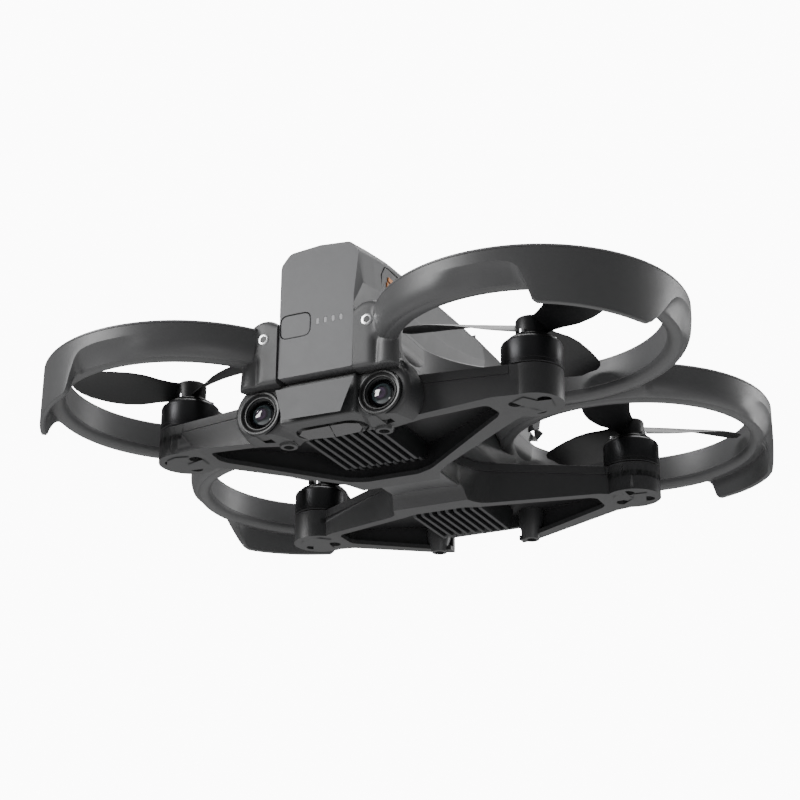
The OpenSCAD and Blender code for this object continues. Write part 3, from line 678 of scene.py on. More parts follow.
def body_look():
    """Body tub with its ears: soft skin, then the battery channel and duct scoops cut crisp."""
    slab = rounded([(-FLANK + 0.15, -EAR_Y + 0.5, 2), (FLANK - 0.15, -EAR_Y + 0.5, 2), (FLANK - 0.15,
        EAR_Y - 0.5, 5), (-FLANK + 0.15, EAR_Y - 0.5, 5)])
    parts = [prism(slab, DECK + 0.2, TOP - 0.1)]
    for sign in SIDES.values():
        parts.append(rearward(lathed([(0, -12), (6.2, -12), (6.9, -6), (6.6, -1.2), (5.6, -0.3), (0, -0.3)],
            48), sign * (EAR_X + 0.2), -EAR_Y + 0.3, EAR_Z))
        parts.append(moved(lathed([(0, 0), (5, 0), (4.4, 8), (0, 8)], 40), place(sign * 15.5, -EAR_Y + 6,
            DECK)))
        for end in (-1, 1):
            parts.append(duct_root(sign, end))
        parts.append(moved(lathed([(0, DECK), (4.2, DECK), (3.6, 26), (0, 26)], 32), place(sign * 22.6,
            -67.2)))
        parts.append(moved(lathed([(0, DECK), (4.2, DECK), (3.6, 26), (0, 26)], 32), place(sign * 22.6,
            67.2)))
    shell = mesh_object("body_tub_look", joined(*parts))
    blended(shell, 0.5, 9)
    cuts = [ring_column(sx, sy, RING_IN + 0.02, 0, 90) for sx, sy in CORNERS.values()]
    cuts.append(block(-12.8, 12.8, -EAR_Y - 5, BAT_FRONT + 6.9, 23.1, 90))
    cuts.append(block(-12.8, 12.8, -EAR_Y - 5, -60.5, DECK - 2, 90))
    cuts.append(block(-12.4, 12.4, EAR_Y - 8, EAR_Y + 5, DECK - 2, 90))
    carved(shell, cuts)
    shade(shell, 40)
    return shell


piece(body_look(), "airframe", BODY_PLASTIC, "shell_grey", "body_tub")


def housing_look():
    """Rear block whose two domes flow into the arms."""
    low, high = box("rear_housing")
    back, front = -EAR_Y + 2.5, -53.4
    parts = [block(-12.7, 12.7, back + 0.8, front, 2.2, DECK - 0.2)]
    for sign in SIDES.values():
        parts.append(rearward(lathed([(0, -9.5), (10.6, -9.5), (10.2, -4), (9.1, 2.2), (8.3, 3.2), (0, 3.2)],
            64), sign * SENSOR_X, -EAR_Y + 8, SENSOR_Z + 1.0))
        parts.append(rearward(lathed([(0, -9), (9.4, -9), (8.6, 0), (7.6, 1.4), (0, 1.4)], 64),
                              sign * (SENSOR_X - 0.5), -EAR_Y + 8, SENSOR_Z + 4.6))
    shell = mesh_object("rear_housing_look", joined(*parts))
    blended(shell, 0.4, 10)
    cuts = [block(-40, 40, -90, -40, -20, 0.7), block(-40, 40, -rear_edge(), -40, DECK, 40), block(-40, -13,
        -rear_edge(), -40, -5, 40), block(13, 40, -rear_edge(), -40, -5, 40)]
    for sign in SIDES.values():
        cuts.append(rearward(lathed([(0, -8), (SENSOR_R + 0.08, -8), (SENSOR_R + 0.08, 9), (0, 9)], 72),
                             sign * SENSOR_X, -EAR_Y + 9.5, SENSOR_Z))
        cuts.append(ring_column(sign, -1, RING_IN, DECK + 3, 60))
    carved(shell, cuts)
    carved(shell, [prism(window_outline(0.05), 0, 3.2)])
    shade(shell, 40)
    return shell


def rear_edge():
    return EAR_Y - 13.3


WINDOW_LOW, WINDOW_HIGH = box("window_rim")


def window_outline(grow):
    """Oval of the infrared window, grown outward."""
    r = (WINDOW_HIGH.y - WINDOW_LOW.y) / 2 + grow
    y = (WINDOW_HIGH.y + WINDOW_LOW.y) / 2
    half = WINDOW_HIGH.x - (r - grow)
    return arc(half, y, r, -90, 90, 16) + arc(-half, y, r, 90, 270, 16)


piece(housing_look(), "airframe", FRAME_PLASTIC, "frame_dark", "rear_housing")


# ---------------------------------------------------------------- frame below the ducts
PAD_Z = 5.0
LID = box("deck_plate")[0].z
CEILING = box("heat_sink")[1].z
REAR_EDGE, FRONT_EDGE = rear_edge(), EAR_Y - 11
SINK_LOW, SINK_HIGH = box("heat_sink")


def mirrored(right):
    """Closed outline from its right half, which starts and ends on the middle line."""
    return right + [(-x, y) for x, y in right[-2:0:-1]]


def underside(rise, low=-3, high=30):
    """Slab between the sloping underside, raised by rise, and a level top, across the whole frame."""
    pad = PAD_Z + 0.25 + rise
    line = rounded([(-MX - 22, high, 0), (-MX - 22, pad, 0), (-MX + 9, pad, 6), (-14, 0.6 + rise, 8), (14,
        0.6 + rise, 8),
                    (MX - 9, pad, 6), (MX + 22, pad, 0), (MX + 22, high, 0)], 5)
    return moved(prism(line, -100, 100), Matrix.Rotation(math.radians(90), 4, "X"))


def tray_corners(end):
    """Right half of a tray: outer corners, pocket corners and mouth corners, each with a fillet."""
    if end < 0:
        edge = -REAR_EDGE
        out = [(0, edge, 0), (28, edge, 14)] + [(x, y, 0) for x, y in arc(MX, -MY, 9.3, -97, 130,
            60)] + [(16.4, -17.4, 10), (12.2, -8, 9)]
        pocket = [(0, edge + 1.8, 0), (28, edge + 1.8, 12), (MX - 9.9, -MY - 7, 3), (MX - 9.4, -MY + 2.4, 3),
                  (MX - 11.2, -MY + 5.2, 2), (15.4, -18.4, 9), (9, -15.6, 6), (0, -15.6, 0)]
        mouth = [(0, edge + 3.6, 0), (28, edge + 3.6, 10), (MX - 12, -MY - 6.2, 3), (MX - 11, -MY + 1, 3),
                 (MX - 12.6, -MY + 3.3, 2), (15.6, -20.6, 8), (9, -17.6, 6), (0, -17.6, 0)]
    else:
        out = [(12.0, 7, 9), (15.4, 17.0, 10)] + [(x, y, 0) for x, y in arc(MX, MY, 9.3, -130, 112,
            60)] + [(19.4, FRONT_EDGE, 6), (0, FRONT_EDGE, 0)]
        pocket = [(0, 15.8, 0), (9, 15.8, 6), (14.8, 17.9, 9), (MX - 11, MY - 6.4, 3), (MX - 9.2, MY - 4, 2),
                  (MX - 9.2, MY + 4, 2), (MX - 10.4, MY + 5.5, 3),
                  (18, FRONT_EDGE - 1.8, 4), (0, FRONT_EDGE - 1.8, 0)]
        mouth = [(0, 17.8, 0), (9, 17.8, 6), (14.8, 20, 8), (MX - 12.4, MY - 7.2, 3), (MX - 10.8, MY - 5, 2),
                 (MX - 10.8, MY + 2.4, 2), (MX - 12, MY + 4, 3),
                 (16.4, FRONT_EDGE - 3.8, 4), (0, FRONT_EDGE - 3.8, 0)]
    return out, pocket, mouth


def outline_of(corners, steps=6):
    return mirrored(rounded(corners, steps))


def pod(sx, sy, r, z0, z1, chamfer=0.0, drop=0.0):
    turned = [(0, z0), (r - chamfer, z0), (r - chamfer * 0.82, z0 + 0.25), (r, z0 + drop), (r, z1), (0,
        z1)] if chamfer else [(0, z0), (r, z0), (r, z1), (0, z1)]
    return moved(lathed(turned, 80), place(sx * MX, sy * MY))


def pod_ring(bm, material, sx, sy):
    """Three copies on the screw circle below a motor."""
    return repeated(bm, RING_TREE, material, place(sx * MX, sy * MY), Count=3, Radius=5.2 * MM,
                    Turn=math.radians(sy * 90 + 180))


def pad_look(sx, sy):
    """Raised pad below a motor with three recessed screw places."""
    turned = [(0, PAD_Z), (6.9, PAD_Z), (7.1, PAD_Z + 0.08), (7.2, PAD_Z + 0.6), (0, PAD_Z + 0.6)]
    obj = mesh_object("pad", moved(lathed(turned, 96), place(sx * MX, sy * MY)))
    hole = lathed([(0, PAD_Z - 1), (2.12, PAD_Z - 1), (2.12, PAD_Z + 2), (0, PAD_Z + 2)], 32)
    return carved(obj, [pod_ring(hole, FRAME_PLASTIC, sx, sy)])


def socket_screw(r, height, flats, depth, steps=24):
    """Screw head facing down from z 0, with a hexagon socket."""
    hexagon = []
    for k in range(steps):
        a = 2 * math.pi * k / steps
        reach = flats / 2 / math.cos((a + math.pi / 6) % (math.pi / 3) - math.pi / 6)
        hexagon.append((reach * math.cos(a), reach * math.sin(a)))
    circle = [(math.cos(2 * math.pi * k / steps), math.sin(2 * math.pi * k / steps)) for k in range(steps)]
    rows = [[(x * r, y * r, height) for x, y in circle], [(x * r, y * r, 0.25) for x, y in circle],
            [(x * (r - 0.07), y * (r - 0.07), 0.08) for x, y in circle],
            [(x * (r - 0.25), y * (r - 0.25), 0) for x, y in circle], [(x * 1.06, y * 1.06, 0) for x,
                y in hexagon], [(x, y, 0.08) for x, y in hexagon],
            [(x, y, depth) for x, y in hexagon]]
    return lofted(rows)


def frame_plan():
    """Outline of the whole frame in plan: both trays, the waist and the round ends of the arms."""
    return outline_of(tray_corners(-1)[0] + tray_corners(1)[0])


def inside(outline, x, y):
    """True where a point lies inside a closed outline."""
    hit = False
    for (x0, y0), (x1, y1) in zip(outline, outline[1:] + outline[:1]):
        if (y0 > y) != (y1 > y) and x < (x1 - x0) * (y - y0) / (y1 - y0) + x0:
            hit = not hit
    return hit


def frame_look():
    """Frame with two open trays joined by the waist; the trays' inside is painted near-black as shade."""
    plan = frame_plan()
    shell = mesh_object("lower_frame_look", prism(plan, -3, LID))
    carved(shell, [underside(0)], "INTERSECT")
    for sx, sy in CORNERS.values():
        stub = mesh_object("stub", prism(plan, LID - 2, DECK))
        carved(stub, [pod(sx, sy, 10.1, 0, 30)], "INTERSECT")
        carved(shell, [taken(stub)], "UNION")
    trough = rounded([(-16, -3, 0), (-11.4, -0.4, 2), (-8.4, 4.9, 3), (8.6, 5.1, 3), (11.8, -0.4, 2), (16,
        -3, 0)], 6)
    stand = Matrix(((0, 0, 1, 0), (1, 0, 0, 0), (0, 1, 0, 0), (0, 0, 0, 1)))
    carved(shell, [moved(prism(trough, -40, 40), stand)])
    chamfered(shell, 1.6)
    cuts, pockets = [], []
    for end in (-1, 1):
        pocket, mouth = (outline_of(line) for line in tray_corners(end)[1:])
        hollow = mesh_object("hollow", prism(pocket, -3, CEILING))
        carved(hollow, [underside(1.5)], "INTERSECT")
        cuts += [taken(hollow), prism(mouth, -4, CEILING - 0.8)]
        pockets.append(pocket)
        x, y = (16.0, -56.18) if end < 0 else (17.5, 57.38)
        cuts += [moved(lathed([(0, -1), (2.5, -1), (2.5, 11), (0, 11)], 32), place(sx * x, y)) for sx in (1,
            -1)]
    cuts += [block(-13, 13, -EAR_Y, -53.2, -1, CEILING - 0.1), block(-13, 13, -EAR_Y, -REAR_EDGE + 1.8, -1,
        30),
             block(-13, 13, FRONT_EDGE - 4.6, FRONT_EDGE + 5, -1, 6)]
    cuts += [pod_ring(moved(lathed([(0, 0), (2.12, 0), (2.12, 3.2), (0, 3.2)], 32), place(0, 0, PAD_Z - 1)),
                      FRAME_PLASTIC, sx, sy) for sx, sy in CORNERS.values()]
    carved(shell, cuts)
    bevelled(shell, 0.16, 2, 40)
    shell.data.materials.append(FRAME_PLASTIC)
    shell.data.materials.append(TRAY_PAINTED_SHADE)
    # faces inside a pocket and above the underside get the painted shade material
    for face in shell.data.polygons:
        x, y, z = face.center / MM - face.normal * 0.3
        low = mix(0.6, PAD_Z + 0.25, min(1, max(0, (abs(x) - 14) / (MX - 23))))
        in_painted_shade = any(inside(pocket, x + face.normal.x, y + face.normal.y) for pocket in pockets)
        face.material_index = 1 if in_painted_shade and z > low + 1.1 else 0
    return shell


shell = frame_look()
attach(shell, "airframe")
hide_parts("lower_frame")

pods = bmesh.new()
for sx, sy in CORNERS.values():
    part = pad_look(sx, sy)
    pods.from_mesh(part.data)
    bpy.data.objects.remove(part)
piece(bevelled(mesh_object("motor_pads", pods, 30, 1), 0.06, 1, 50), "airframe", FRAME_PLASTIC, "frame_dark")

FOOT = [(1.6, 0.0), (2.45, 0.0), (2.65, 0.08), (2.78, 0.35), (4.1, 5), (4.4, 8), (4.4, CEILING + 0.3), (1.6,
    CEILING + 0.3), (1.6, 0.0)]
feet = joined(*[repeated(lathed(FOOT, 56), ROW_TREE, FRAME_PLASTIC, place(-x, y), Count=2, Step=(2 * x * MM,
    0, 0)) for x, y in ((16.0, -56.18), (17.5, 57.38))])
piece(mesh_object("frame_feet", feet), "airframe", FRAME_PLASTIC, "frame_dark")

heads = joined(*[pod_ring(moved(socket_screw(1.8, 1.6, 1.7, 0.9), place(0, 0, PAD_Z + 0.95)), SCREW_BLACK,
                          sx, sy) for sx, sy in CORNERS.values()])
piece(mesh_object("pad_screws_look", heads), "airframe", SCREW_BLACK, "screw_black", "pad_screws")
heads = joined(*[repeated(moved(socket_screw(1.5, 6, 1.5, 1.2), place(0, 0, 1.2)), ROW_TREE, SCREW_BLACK,
                          place(-x, y), Count=2, Step=(2 * x * MM, 0, 0))
                 for x, y in ((16.0, -56.18), (17.5, 57.38))])
piece(mesh_object("foot_screws_look", heads), "airframe", SCREW_BLACK, "screw_black", "foot_screws")
heads = repeated(moved(socket_screw(1.95, 2.4, 1.9, 1.2), Matrix.Rotation(math.radians(-90), 4, "X")),
                 ROW_TREE, STEEL,
                 place(-EAR_X, -EAR_Y + 0.35, EAR_Z), Count=2, Step=(2 * EAR_X * MM, 0, 0))
piece(mesh_object("ear_screws_look", heads), "airframe", STEEL, "steel", "ear_screws")


def deck_look():
    """Cover over the arms; the seams below it and at its ends show as dark lines."""
    plate = mesh_object("deck_plate_look", prism(frame_plan(), LID + 0.18, DECK))
    carved(plate, [pod(sx, sy, 10.28, LID - 1, DECK + 1) for sx, sy in CORNERS.values()] + [block(-13, 13,
        -EAR_Y, -REAR_EDGE + 1.9, LID - 1, DECK + 1)])
    return bevelled(plate, 0.25, 2, 40)


piece(deck_look(), "airframe", FRAME_PLASTIC, "frame_dark", "deck_plate")


def waist_look():
    """Saddle panel with a shallow fold along its middle."""
    rows = []
    for k in range(25):
        x = mix(-11.7, 11.7, k / 24)
        rise = 0.5 * (1 - abs(x) / 11.7)
        half = 8.9
        rows.append([(x, -half, 4.55 + rise), (x, -half * 0.2, 4.2 + rise), (x, half * 0.2, 4.2 + rise), (x,
            half, 4.75 + rise), (x, half, 6.4), (x, -half, 6.4)])
    return bevelled(mesh_object("waist_panel_look", lofted(rows)), 0.3)


piece(waist_look(), "airframe", BODY_PLASTIC, "frame_dark", "waist_panel")


def sink_look():
    """Cooler: base plate with lengthwise fins fore and aft of the waist."""
    base = CEILING - 1.6
    fins = 9
    width = SINK_HIGH.x - SINK_LOW.x
    pitch = (width - 1.2) / (fins - 1)
    stand = Matrix(((0, 0, 1, 0), (1, 0, 0, 0), (0, 1, 0, 0), (0, 0, 0, 1)))
    rear = rounded([(-52.6, base + 0.4, 0), (-52.6, 2.6, 0.5), (-25, 2.6, 0.8), (-24, 3.7, 0.5), (-20.4, 3.7,
        0.8), (-19.2, 5.4, 0.5), (-17.7, 6.2, 0.5), (-17.7, base + 0.4, 0)], 3)
    ahead = rounded([(18.9, base + 0.4, 0), (18.9, 6, 0.5), (20, 3.1, 0.8), (24, 3.1, 0.5), (25, 2.2, 0.8),
                     (FRONT_EDGE - 11, 2.2, 1), (FRONT_EDGE - 8.1, 4.6, 0.5), (FRONT_EDGE - 8.1, base + 0.4,
                         0)], 3)
    rows = []
    for line in (rear, ahead):
        fin = mesh_object("fin", moved(prism(line, -0.6, 0.6), stand))
        bevelled(fin, 0.16, 2, 40)
        one = bmesh.new()
        one.from_mesh(fin.data)
        bpy.data.objects.remove(fin)
        bmesh.ops.scale(one, vec=(1 / MM,) * 3, verts=one.verts)
        rows.append(repeated(one, ROW_TREE, SINK_METAL, place(SINK_LOW.x + 0.6), Count=fins,
                             Step=(pitch * MM, 0, 0)))
    rows.append(block(SINK_LOW.x, SINK_HIGH.x, -52.6, -17.7, base, CEILING))
    rows.append(block(SINK_LOW.x, SINK_HIGH.x, 17.3, FRONT_EDGE - 8, base, CEILING))
    rows.append(block(-8, 8, -17.8, 17.4, base + 0.1, CEILING - 0.1))
    return mesh_object("heat_sink_look", joined(*rows), 40)


piece(sink_look(), "airframe", SINK_METAL, "sink_dark", "heat_sink")

for node, material, slot, width in (
        ("rear_plate", PLATE_PLASTIC, "plate_grey", 0.35), ("window_rim", FRAME_PLASTIC, "frame_dark", 0.15),
        ("window_sender", WINDOW_BLACK, "ir_window", 0.15), ("window_receiver", WINDOW_BLACK, "ir_window",
            0.15),
        ("hood", BODY_PLASTIC, "shell_grey", 0.5), ("tilt_motor", BELL_METAL, "bell_black", 0.2)):
    piece(from_cad(node, width), "airframe", material, slot, node)

for node, material in (("main_board", BOARD_GREEN), ("speed_controller", BOARD_BLUE), ("battery_socket",
    BARREL_BLACK),
                       ("battery_board", BOARD_GREEN), ("battery_plug", BARREL_BLACK), ("battery_cells",
                           CELL_WRAP)):
    cad = frame["nodes"][node]
    cad.data.materials.clear()
    cad.data.materials.append(material)


# ---------------------------------------------------------------- vision sensors
def sensor_looks(side, sign):
    y = -EAR_Y + 3.9
    r = SENSOR_R
    barrel = lathed([(r - 2.7, -5), (r, -5), (r, -0.35), (r - 0.25, -0.05), (r - 0.6, 0), (r - 0.95, -0.1),
                     (r - 1.15, -0.55), (r - 1.6, -0.7),
                     (r - 1.75, -0.45), (r - 2.05, -0.45), (r - 2.2, -0.95), (r - 2.5, -1.1), (r - 2.7,
                         -1.6), (r - 2.7, -5)], 96)
    piece(mesh_object("sensor_barrel_" + side + "_look", rearward(barrel, sign * SENSOR_X, y, SENSOR_Z), 30),
          "airframe", BARREL_BLACK,
          "black_gloss", "sensor_barrel_" + side)
    dome = [(0, -4.2), (r - 2.75, -4.2), (r - 2.75, -3.2)] + [((r - 3) * math.cos(math.radians(a)),
        -3.2 + 2.4 * math.sin(math.radians(a))) for a in range(0, 90, 9)] + [(0, -0.8)]
    centre = (sign * SENSOR_X, y + 0.8, SENSOR_Z)
    # the second and third colours are painted reflection rings
    glass = painted_reflection_lens_look("Vision lens " + side, centre, r - 3, (0.004, 0.004, 0.006), (0.05, 0.03, 0.06), (0.03,
        0.045, 0.05))
    piece(mesh_object("sensor_lens_" + side + "_look", rearward(lathed(dome, 72), sign * SENSOR_X, y,
        SENSOR_Z), 50), "airframe", glass,
          "lens_glass", "sensor_lens_" + side)


for side, sign in SIDES.items():
    sensor_looks(side, sign)


# ---------------------------------------------------------------- motors and propellers
PHASE = {"rear_right": 86.7, "rear_left": 97, "front_right": 30, "front_left": 110}
BLADE_R = RING_IN - 1.6
HUB_TOP = box("propeller_rear_right")[1].z


def bell_look(corner):
    h = BELL_TOP - BELL_Z
    r = BELL_R
    turned = lathed([(r - 1.5, -0.25), (r - 0.2, -0.25), (r, -0.05), (r, 1.0), (r - 0.06, 1.05), (r - 0.06,
        1.15), (r, 1.2), (r, h - 1.3), (r - 0.25, h - 0.7),
                     (r - 0.75, h - 0.25), (r - 1.3, h - 0.05), (r - 1.9, h), (1.55, h), (1.55, h - 1.4),
                     (r - 1.5, h - 1.4), (r - 1.5, -0.25)], 96)
    x, y = (s * m for s, m in zip(CORNERS[corner], (MX, MY)))
    obj = mesh_object("motor_bell_" + corner + "_look", moved(turned, place(x, y, BELL_Z)), 35)
    piece(obj, "rotor_" + corner, BELL_METAL, "bell_black", "motor_bell_" + corner)


# Blade by share of its radius: chord, forward sweep and pitch in degrees
CHORD = [(0, 7.0), (0.08, 7.2), (0.2, 9.0), (0.35, 12.6), (0.5, 14.8), (0.65, 15.2), (0.8, 14.2), (0.9,
    12.2), (0.96, 9.4), (1, 5.4)]
SWEEP = [(0, 0), (0.3, 0.3), (0.6, 0.2), (0.8, -0.6), (1, -2.4)]
PITCH = [(0, 40), (0.2, 33), (0.5, 22), (0.8, 15), (1, 11)]


def blade():
    """Thin twisted blade along +X that turns towards -Y, leading edge high."""
    rows = []
    steps = 30
    for k in range(steps + 1):
        t = math.sin(math.pi / 2 * k / steps)
        chord, sweep, pitch = along(CHORD, t), along(SWEEP, t), math.radians(along(PITCH, t))
        thick = mix(1.5, 0.55, min(1, t * 1.6))
        row = []
        for j in range(24):
            a = 2 * math.pi * j / 24
            u = math.cos(a) * chord / 2
            w = (math.sin(a) * thick / 2 * (1.0 if math.sin(a) > 0 else 0.8)
                 + 0.055 * chord * (1 - math.cos(a) ** 2))
            row.append((mix(3.2, BLADE_R, t), sweep + -u * math.cos(pitch),
                        w * math.cos(pitch) + u * math.sin(pitch)))
        rows.append(row)
    return lofted(rows)


def propeller_look(corner):
    sx, sy = CORNERS[corner]
    spin = -1 if sx * sy < 0 else 1
    r = 4.75
    mid = BELL_TOP + 5.0
    hub = lathed([(0, BELL_TOP + 0.02), (7.4, BELL_TOP + 0.02), (7.5, BELL_TOP + 0.6), (7.2, BELL_TOP + 1.0),
                  (5.4, BELL_TOP + 1.3), (r + 0.15, BELL_TOP + 2.0), (r, BELL_TOP + 3),
                  (r, HUB_TOP - 0.8), (r - 0.3, HUB_TOP - 0.25), (r - 0.9, HUB_TOP), (2.4, HUB_TOP), (2.2,
                      HUB_TOP - 0.3), (2.2, HUB_TOP - 0.9), (0, HUB_TOP - 0.9)], 72)
    parts = [hub]
    for k in range(3):
        one = blade()
        if spin > 0:
            moved(one, Matrix.Scale(-1, 4, (0, 1, 0)))
        parts.append(moved(one, place(0, 0, mid, PHASE[corner] + 120 * k)))
    whole = moved(joined(*parts), place(sx * MX, sy * MY))
    piece(mesh_object("propeller_" + corner + "_look", whole, 50), "rotor_" + corner, BLADE_GLOSS,
          "black_gloss", "propeller_" + corner)


for corner in CORNERS:
    bell_look(corner)
    propeller_look(corner)
    for node, material in (("motor_base_", COPPER), ("motor_shaft_", STEEL), ("prop_screws_", STEEL)):
        cad = frame["nodes"][node + corner]
        cad.data.materials.clear()
        cad.data.materials.append(material)


# ---------------------------------------------------------------- battery
REAR_FACE = [(16, -EAR_Y + 1.05), (40, -EAR_Y + 1.35), (57.4, -EAR_Y + 3.05), (70, -EAR_Y + 3.6)]


def battery_section(y):
    """Right half of the pack's section at y, from the keel to the ridge, as (x, z)."""
    top = along([(-EAR_Y, HEIGHT - 5.0), (-46, HEIGHT - 2.7), (-5, HEIGHT - 0.5), (9, HEIGHT - 0.05),
                 (BAT_FRONT, HEIGHT - 0.05)], y)
    crease = along([(-EAR_Y, 44), (-35, 45.6), (-8, 47.2), (10, 50.6), (38, 58)], y)
    keel = 16.1 if y < -61 else 23.5
    w, b = 12.45, along([(-EAR_Y, 13.7), (-66, 14.3), (-60, 15.1), (-50, BAT_OUT - 0.02)], y)
    return rounded([(0, keel, 0), (w, keel, 0.8), (w, 36.4, 2), (b, crease, 1.2), (b - 0.9, top - 4.6, 3),
                    (b - 3.6, top - 0.9, 3), (0, top, 0)], 4)


def battery_look():
    rows = []
    for y in (-EAR_Y + 0.9, -66, -61.01, -60.99, -55, -50, -46, -35, -20, -8, 0, 9, 16, BAT_FRONT - 0.05):
        half = battery_section(y)
        rows.append([(x, y, z) for x, z in half] + [(-x, y, z) for x, z in half[-2:0:-1]])
    shell = mesh_object("battery_case_look", lofted(rows))
    # lean of the rear face, its bevelled sides, and the pockets
    back = bmesh.new()
    rings = []
    for z, y in [(10, -EAR_Y + 1.0)] + REAR_FACE:
        rings.append([back.verts.new(p) for p in ((-30, -90, z), (30, -90, z), (30, y, z), (-30, y, z))])
    for a, b in zip(rings, rings[1:]):
        for k in range(4):
            back.faces.new((a[k], a[(k + 1) % 4], b[(k + 1) % 4], b[k]))
    back.faces.new(rings[0][::-1])
    back.faces.new(rings[-1])
    cuts = [back]
    for sign in SIDES.values():
        wedge = prism([(sign * 11.8, -EAR_Y), (sign * 15.9, -EAR_Y + 7.5), (sign * 25, -EAR_Y + 7.5),
                       (sign * 25, -EAR_Y - 4), (sign * 11.8, -EAR_Y - 4)], 10.0, 80)
        cuts.append(wedge)
    carved(shell, cuts)
    bevelled(shell, 0.8, 3, 24)
    pockets = [moved(prism(button_outline(0.3), -8, 8), rear_slot()), ]
    for x in LED_X:
        pockets.append(moved(prism(plate_outline(x, LED_Z, x + 1.1, LED_Z + 2, 0.3), -8, 8), rear_slot()))
    for sign in SIDES.values():
        pockets.append(moved(prism(latch_outline(0), 11.4, 25), side_slot(sign)))
    carved(shell, pockets)
    return bevelled(shell, 0.14, 2, 50)


def rear_slot():
    """Stands an (x, z) outline up just inside the rear face."""
    return Matrix.Translation((0, -EAR_Y + 3.4, 0)) @ Matrix.Rotation(math.radians(90), 4, "X")


def side_slot(sign):
    """Stands a (y, z) outline on a flank."""
    stand = Matrix(((0, 0, 1, 0), (1, 0, 0, 0), (0, 1, 0, 0), (0, 0, 0, 1)))
    return Matrix.Scale(sign, 4, (1, 0, 0)) @ stand


BUTTON = box("power_button")
LED_LOW, LED_HIGH = box("charge_leds")
LED_X = [LED_LOW.x + k * (LED_HIGH.x - 1.1 - LED_LOW.x) / 3 for k in range(4)]
LED_Z = LED_LOW.z


def plate_outline(x0, y0, x1, y1, r, steps=4):
    """Rectangle with four equal round corners."""
    return rounded([(x0, y0, r), (x1, y0, r), (x1, y1, r), (x0, y1, r)], steps)


def button_outline(grow):
    low, high = BUTTON
    r = 2.4 + grow
    return plate_outline(low.x - grow, low.z - grow, high.x + grow, high.z + grow, r, 6)


def latch_outline(inset):
    low, high = box("latch_right")
    return rounded([(-57 + inset, 45 + inset, 0.6), (-44.6 - inset, 45 + inset, 0.6), (-44.6 - inset,
        55.6 - inset, 1), (-52.4 + inset * 0.5, 55.6 - inset, 1.2),
                    (-54.6 + inset, 55.2 - inset, 1.4), (-57 + inset, 51.4, 1.4)], 3)


piece(battery_look(), "battery", BATTERY_PLASTIC, "battery_grey", "battery_case")


def face_depth(z):
    return along(REAR_FACE, z)


key = mesh_object("power_button_look", moved(prism(button_outline(0), -2.2, 2.2), rear_slot()))
for v in key.data.vertices:
    if v.co.y < (-EAR_Y + 3.4) * MM:
        v.co.y = (face_depth(v.co.z / MM) + 0.12) * MM
piece(bevelled(key, 0.25, 3), "power_key", BATTERY_PLASTIC, "battery_grey", "power_button")

lamps = joined(*[moved(prism(plate_outline(x + 0.08, LED_Z + 0.08, x + 1.02, LED_Z + 1.92, 0.3), 0.6, 2.12),
                       rear_slot()) for x in LED_X])
piece(mesh_object("charge_leds_look", lamps), "battery", LED_MILK, "led_white", "charge_leds")

for side, sign in SIDES.items():
    pad = bevelled(mesh_object("latch_" + side + "_look", moved(prism(latch_outline(0.35), 12.5,
        BAT_OUT - 0.9), side_slot(sign))), 0.3, 3)
    piece(pad, "latch_key_" + side, FRAME_PLASTIC, "frame_dark", "latch_" + side)
    marks = joined(moved(prism(plate_outline(-52.6, 51, -49.6, 52.4, 0.2), BAT_OUT - 0.95, BAT_OUT - 0.55),
                         side_slot(sign)),
                   moved(prism(plate_outline(-53.4, 47.2, -52.5, 50.4, 0.2), BAT_OUT - 0.95, BAT_OUT - 0.55),
                         side_slot(sign)))
    piece(mesh_object("latch_mark_" + side, marks), "latch_key_" + side, ORANGE, "frame_dark")


# ---------------------------------------------------------------- camera
for node, material, slot, width in (("camera_head", FRAME_PLASTIC, "frame_dark", 0.6), ("camera_lens",
    BARREL_BLACK, "black_gloss", 0.2)):
    piece(from_cad(node, width, 3), "camera", material, slot, node)
# the second and third colours are painted reflection rings
glass = painted_reflection_lens_look("Camera glass", (0, CAM_Y + 10, CAM_Z), 6.5, (0.004, 0.004, 0.006), (0.03, 0.02, 0.05),
                  (0.02, 0.04, 0.05))
piece(from_cad("camera_glass", 0.3, 3), "camera", glass, "lens_glass", "camera_glass")


# ---------------------------------------------------------------- studio
def studio_plain(name, colour, glow=0.0):
    look = Look(name)
    cloud = look.noise(300, 2)
    return look.surface({"Base Color": look.tint(cloud, scaled(colour, 0.99), colour), "Roughness": 0.9,
                         "Emission Color": (1, 1, 1, 1), "Emission Strength": glow})


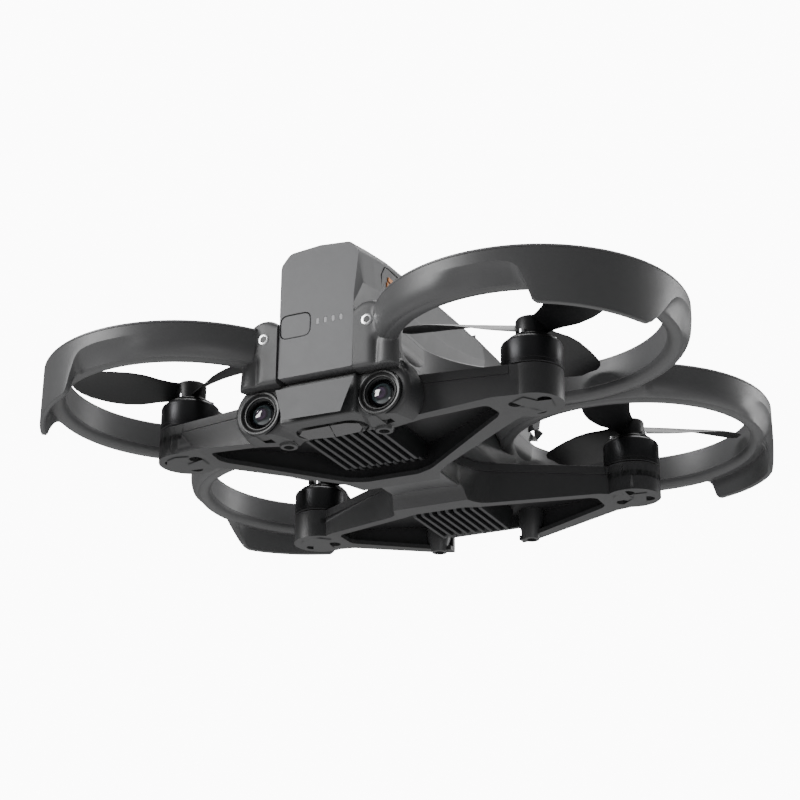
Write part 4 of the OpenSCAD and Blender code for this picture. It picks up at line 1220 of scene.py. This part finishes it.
floor = mesh_object("studio_floor", block(-6000, 6000, -6000, 6000, -620, -600))
floor.data.materials.append(studio_plain("Studio floor", (0.85, 0.85, 0.85)))

world = bpy.data.worlds.new("Studio")
bpy.context.scene.world = world
world.use_nodes = True
sky = Graph(world.node_tree)
world.node_tree.nodes.clear()
seen = sky.node("ShaderNodeLightPath", out="Is Camera Ray")
strength = seen * 11.0 + 0.22
glow = sky.node("ShaderNodeBackground", None, {"Color": (1, 1, 1, 1), "Strength": strength})
sky.node("ShaderNodeOutputWorld", None, {"Surface": glow})


def area_light(name, spot, size, power, aim=(0, 0, 0.03)):
    data = bpy.data.lights.new(name, "AREA")
    data.shape = "RECTANGLE"
    data.size, data.size_y = size
    data.energy = power
    lamp = bpy.data.objects.new(name, data)
    bpy.context.scene.collection.objects.link(lamp)
    lamp.location = spot
    lamp.rotation_euler = (Vector(aim) - Vector(spot)).to_track_quat("-Z", "Y").to_euler()


area_light("Key", (-1.2, -1.15, 0.75), (0.9, 0.9), 34)
area_light("Overhead", (0.1, 0.5, 1.5), (1.4, 1.0), 26)
area_light("Low fill", (0.9, -1.0, -0.55), (0.5, 0.5), 3.2)
area_light("Far edge", (1.0, 1.1, 0.35), (0.5, 0.9), 12)

AZIMUTH, ELEVATION, ROLL = (math.radians(v) for v in (25.569, -22.484, 0.252))
back = Vector((math.sin(AZIMUTH) * math.cos(ELEVATION), -math.cos(AZIMUTH) * math.cos(ELEVATION),
               math.sin(ELEVATION)))
level = Vector((math.cos(AZIMUTH), math.sin(AZIMUTH), 0))
upright = back.cross(level)
across = math.cos(ROLL) * level + math.sin(ROLL) * upright
up = -math.sin(ROLL) * level + math.cos(ROLL) * upright
lens = bpy.data.cameras.new("Camera")
lens.lens, lens.sensor_width = 82.46, 36
camera = bpy.data.objects.new("Camera", lens)
bpy.context.scene.collection.objects.link(camera)
camera.matrix_world = Matrix.Translation((0.23714, -0.50783, -0.19809)) @ Matrix((across, up,
    back)).transposed().to_4x4()
bpy.context.scene.camera = camera
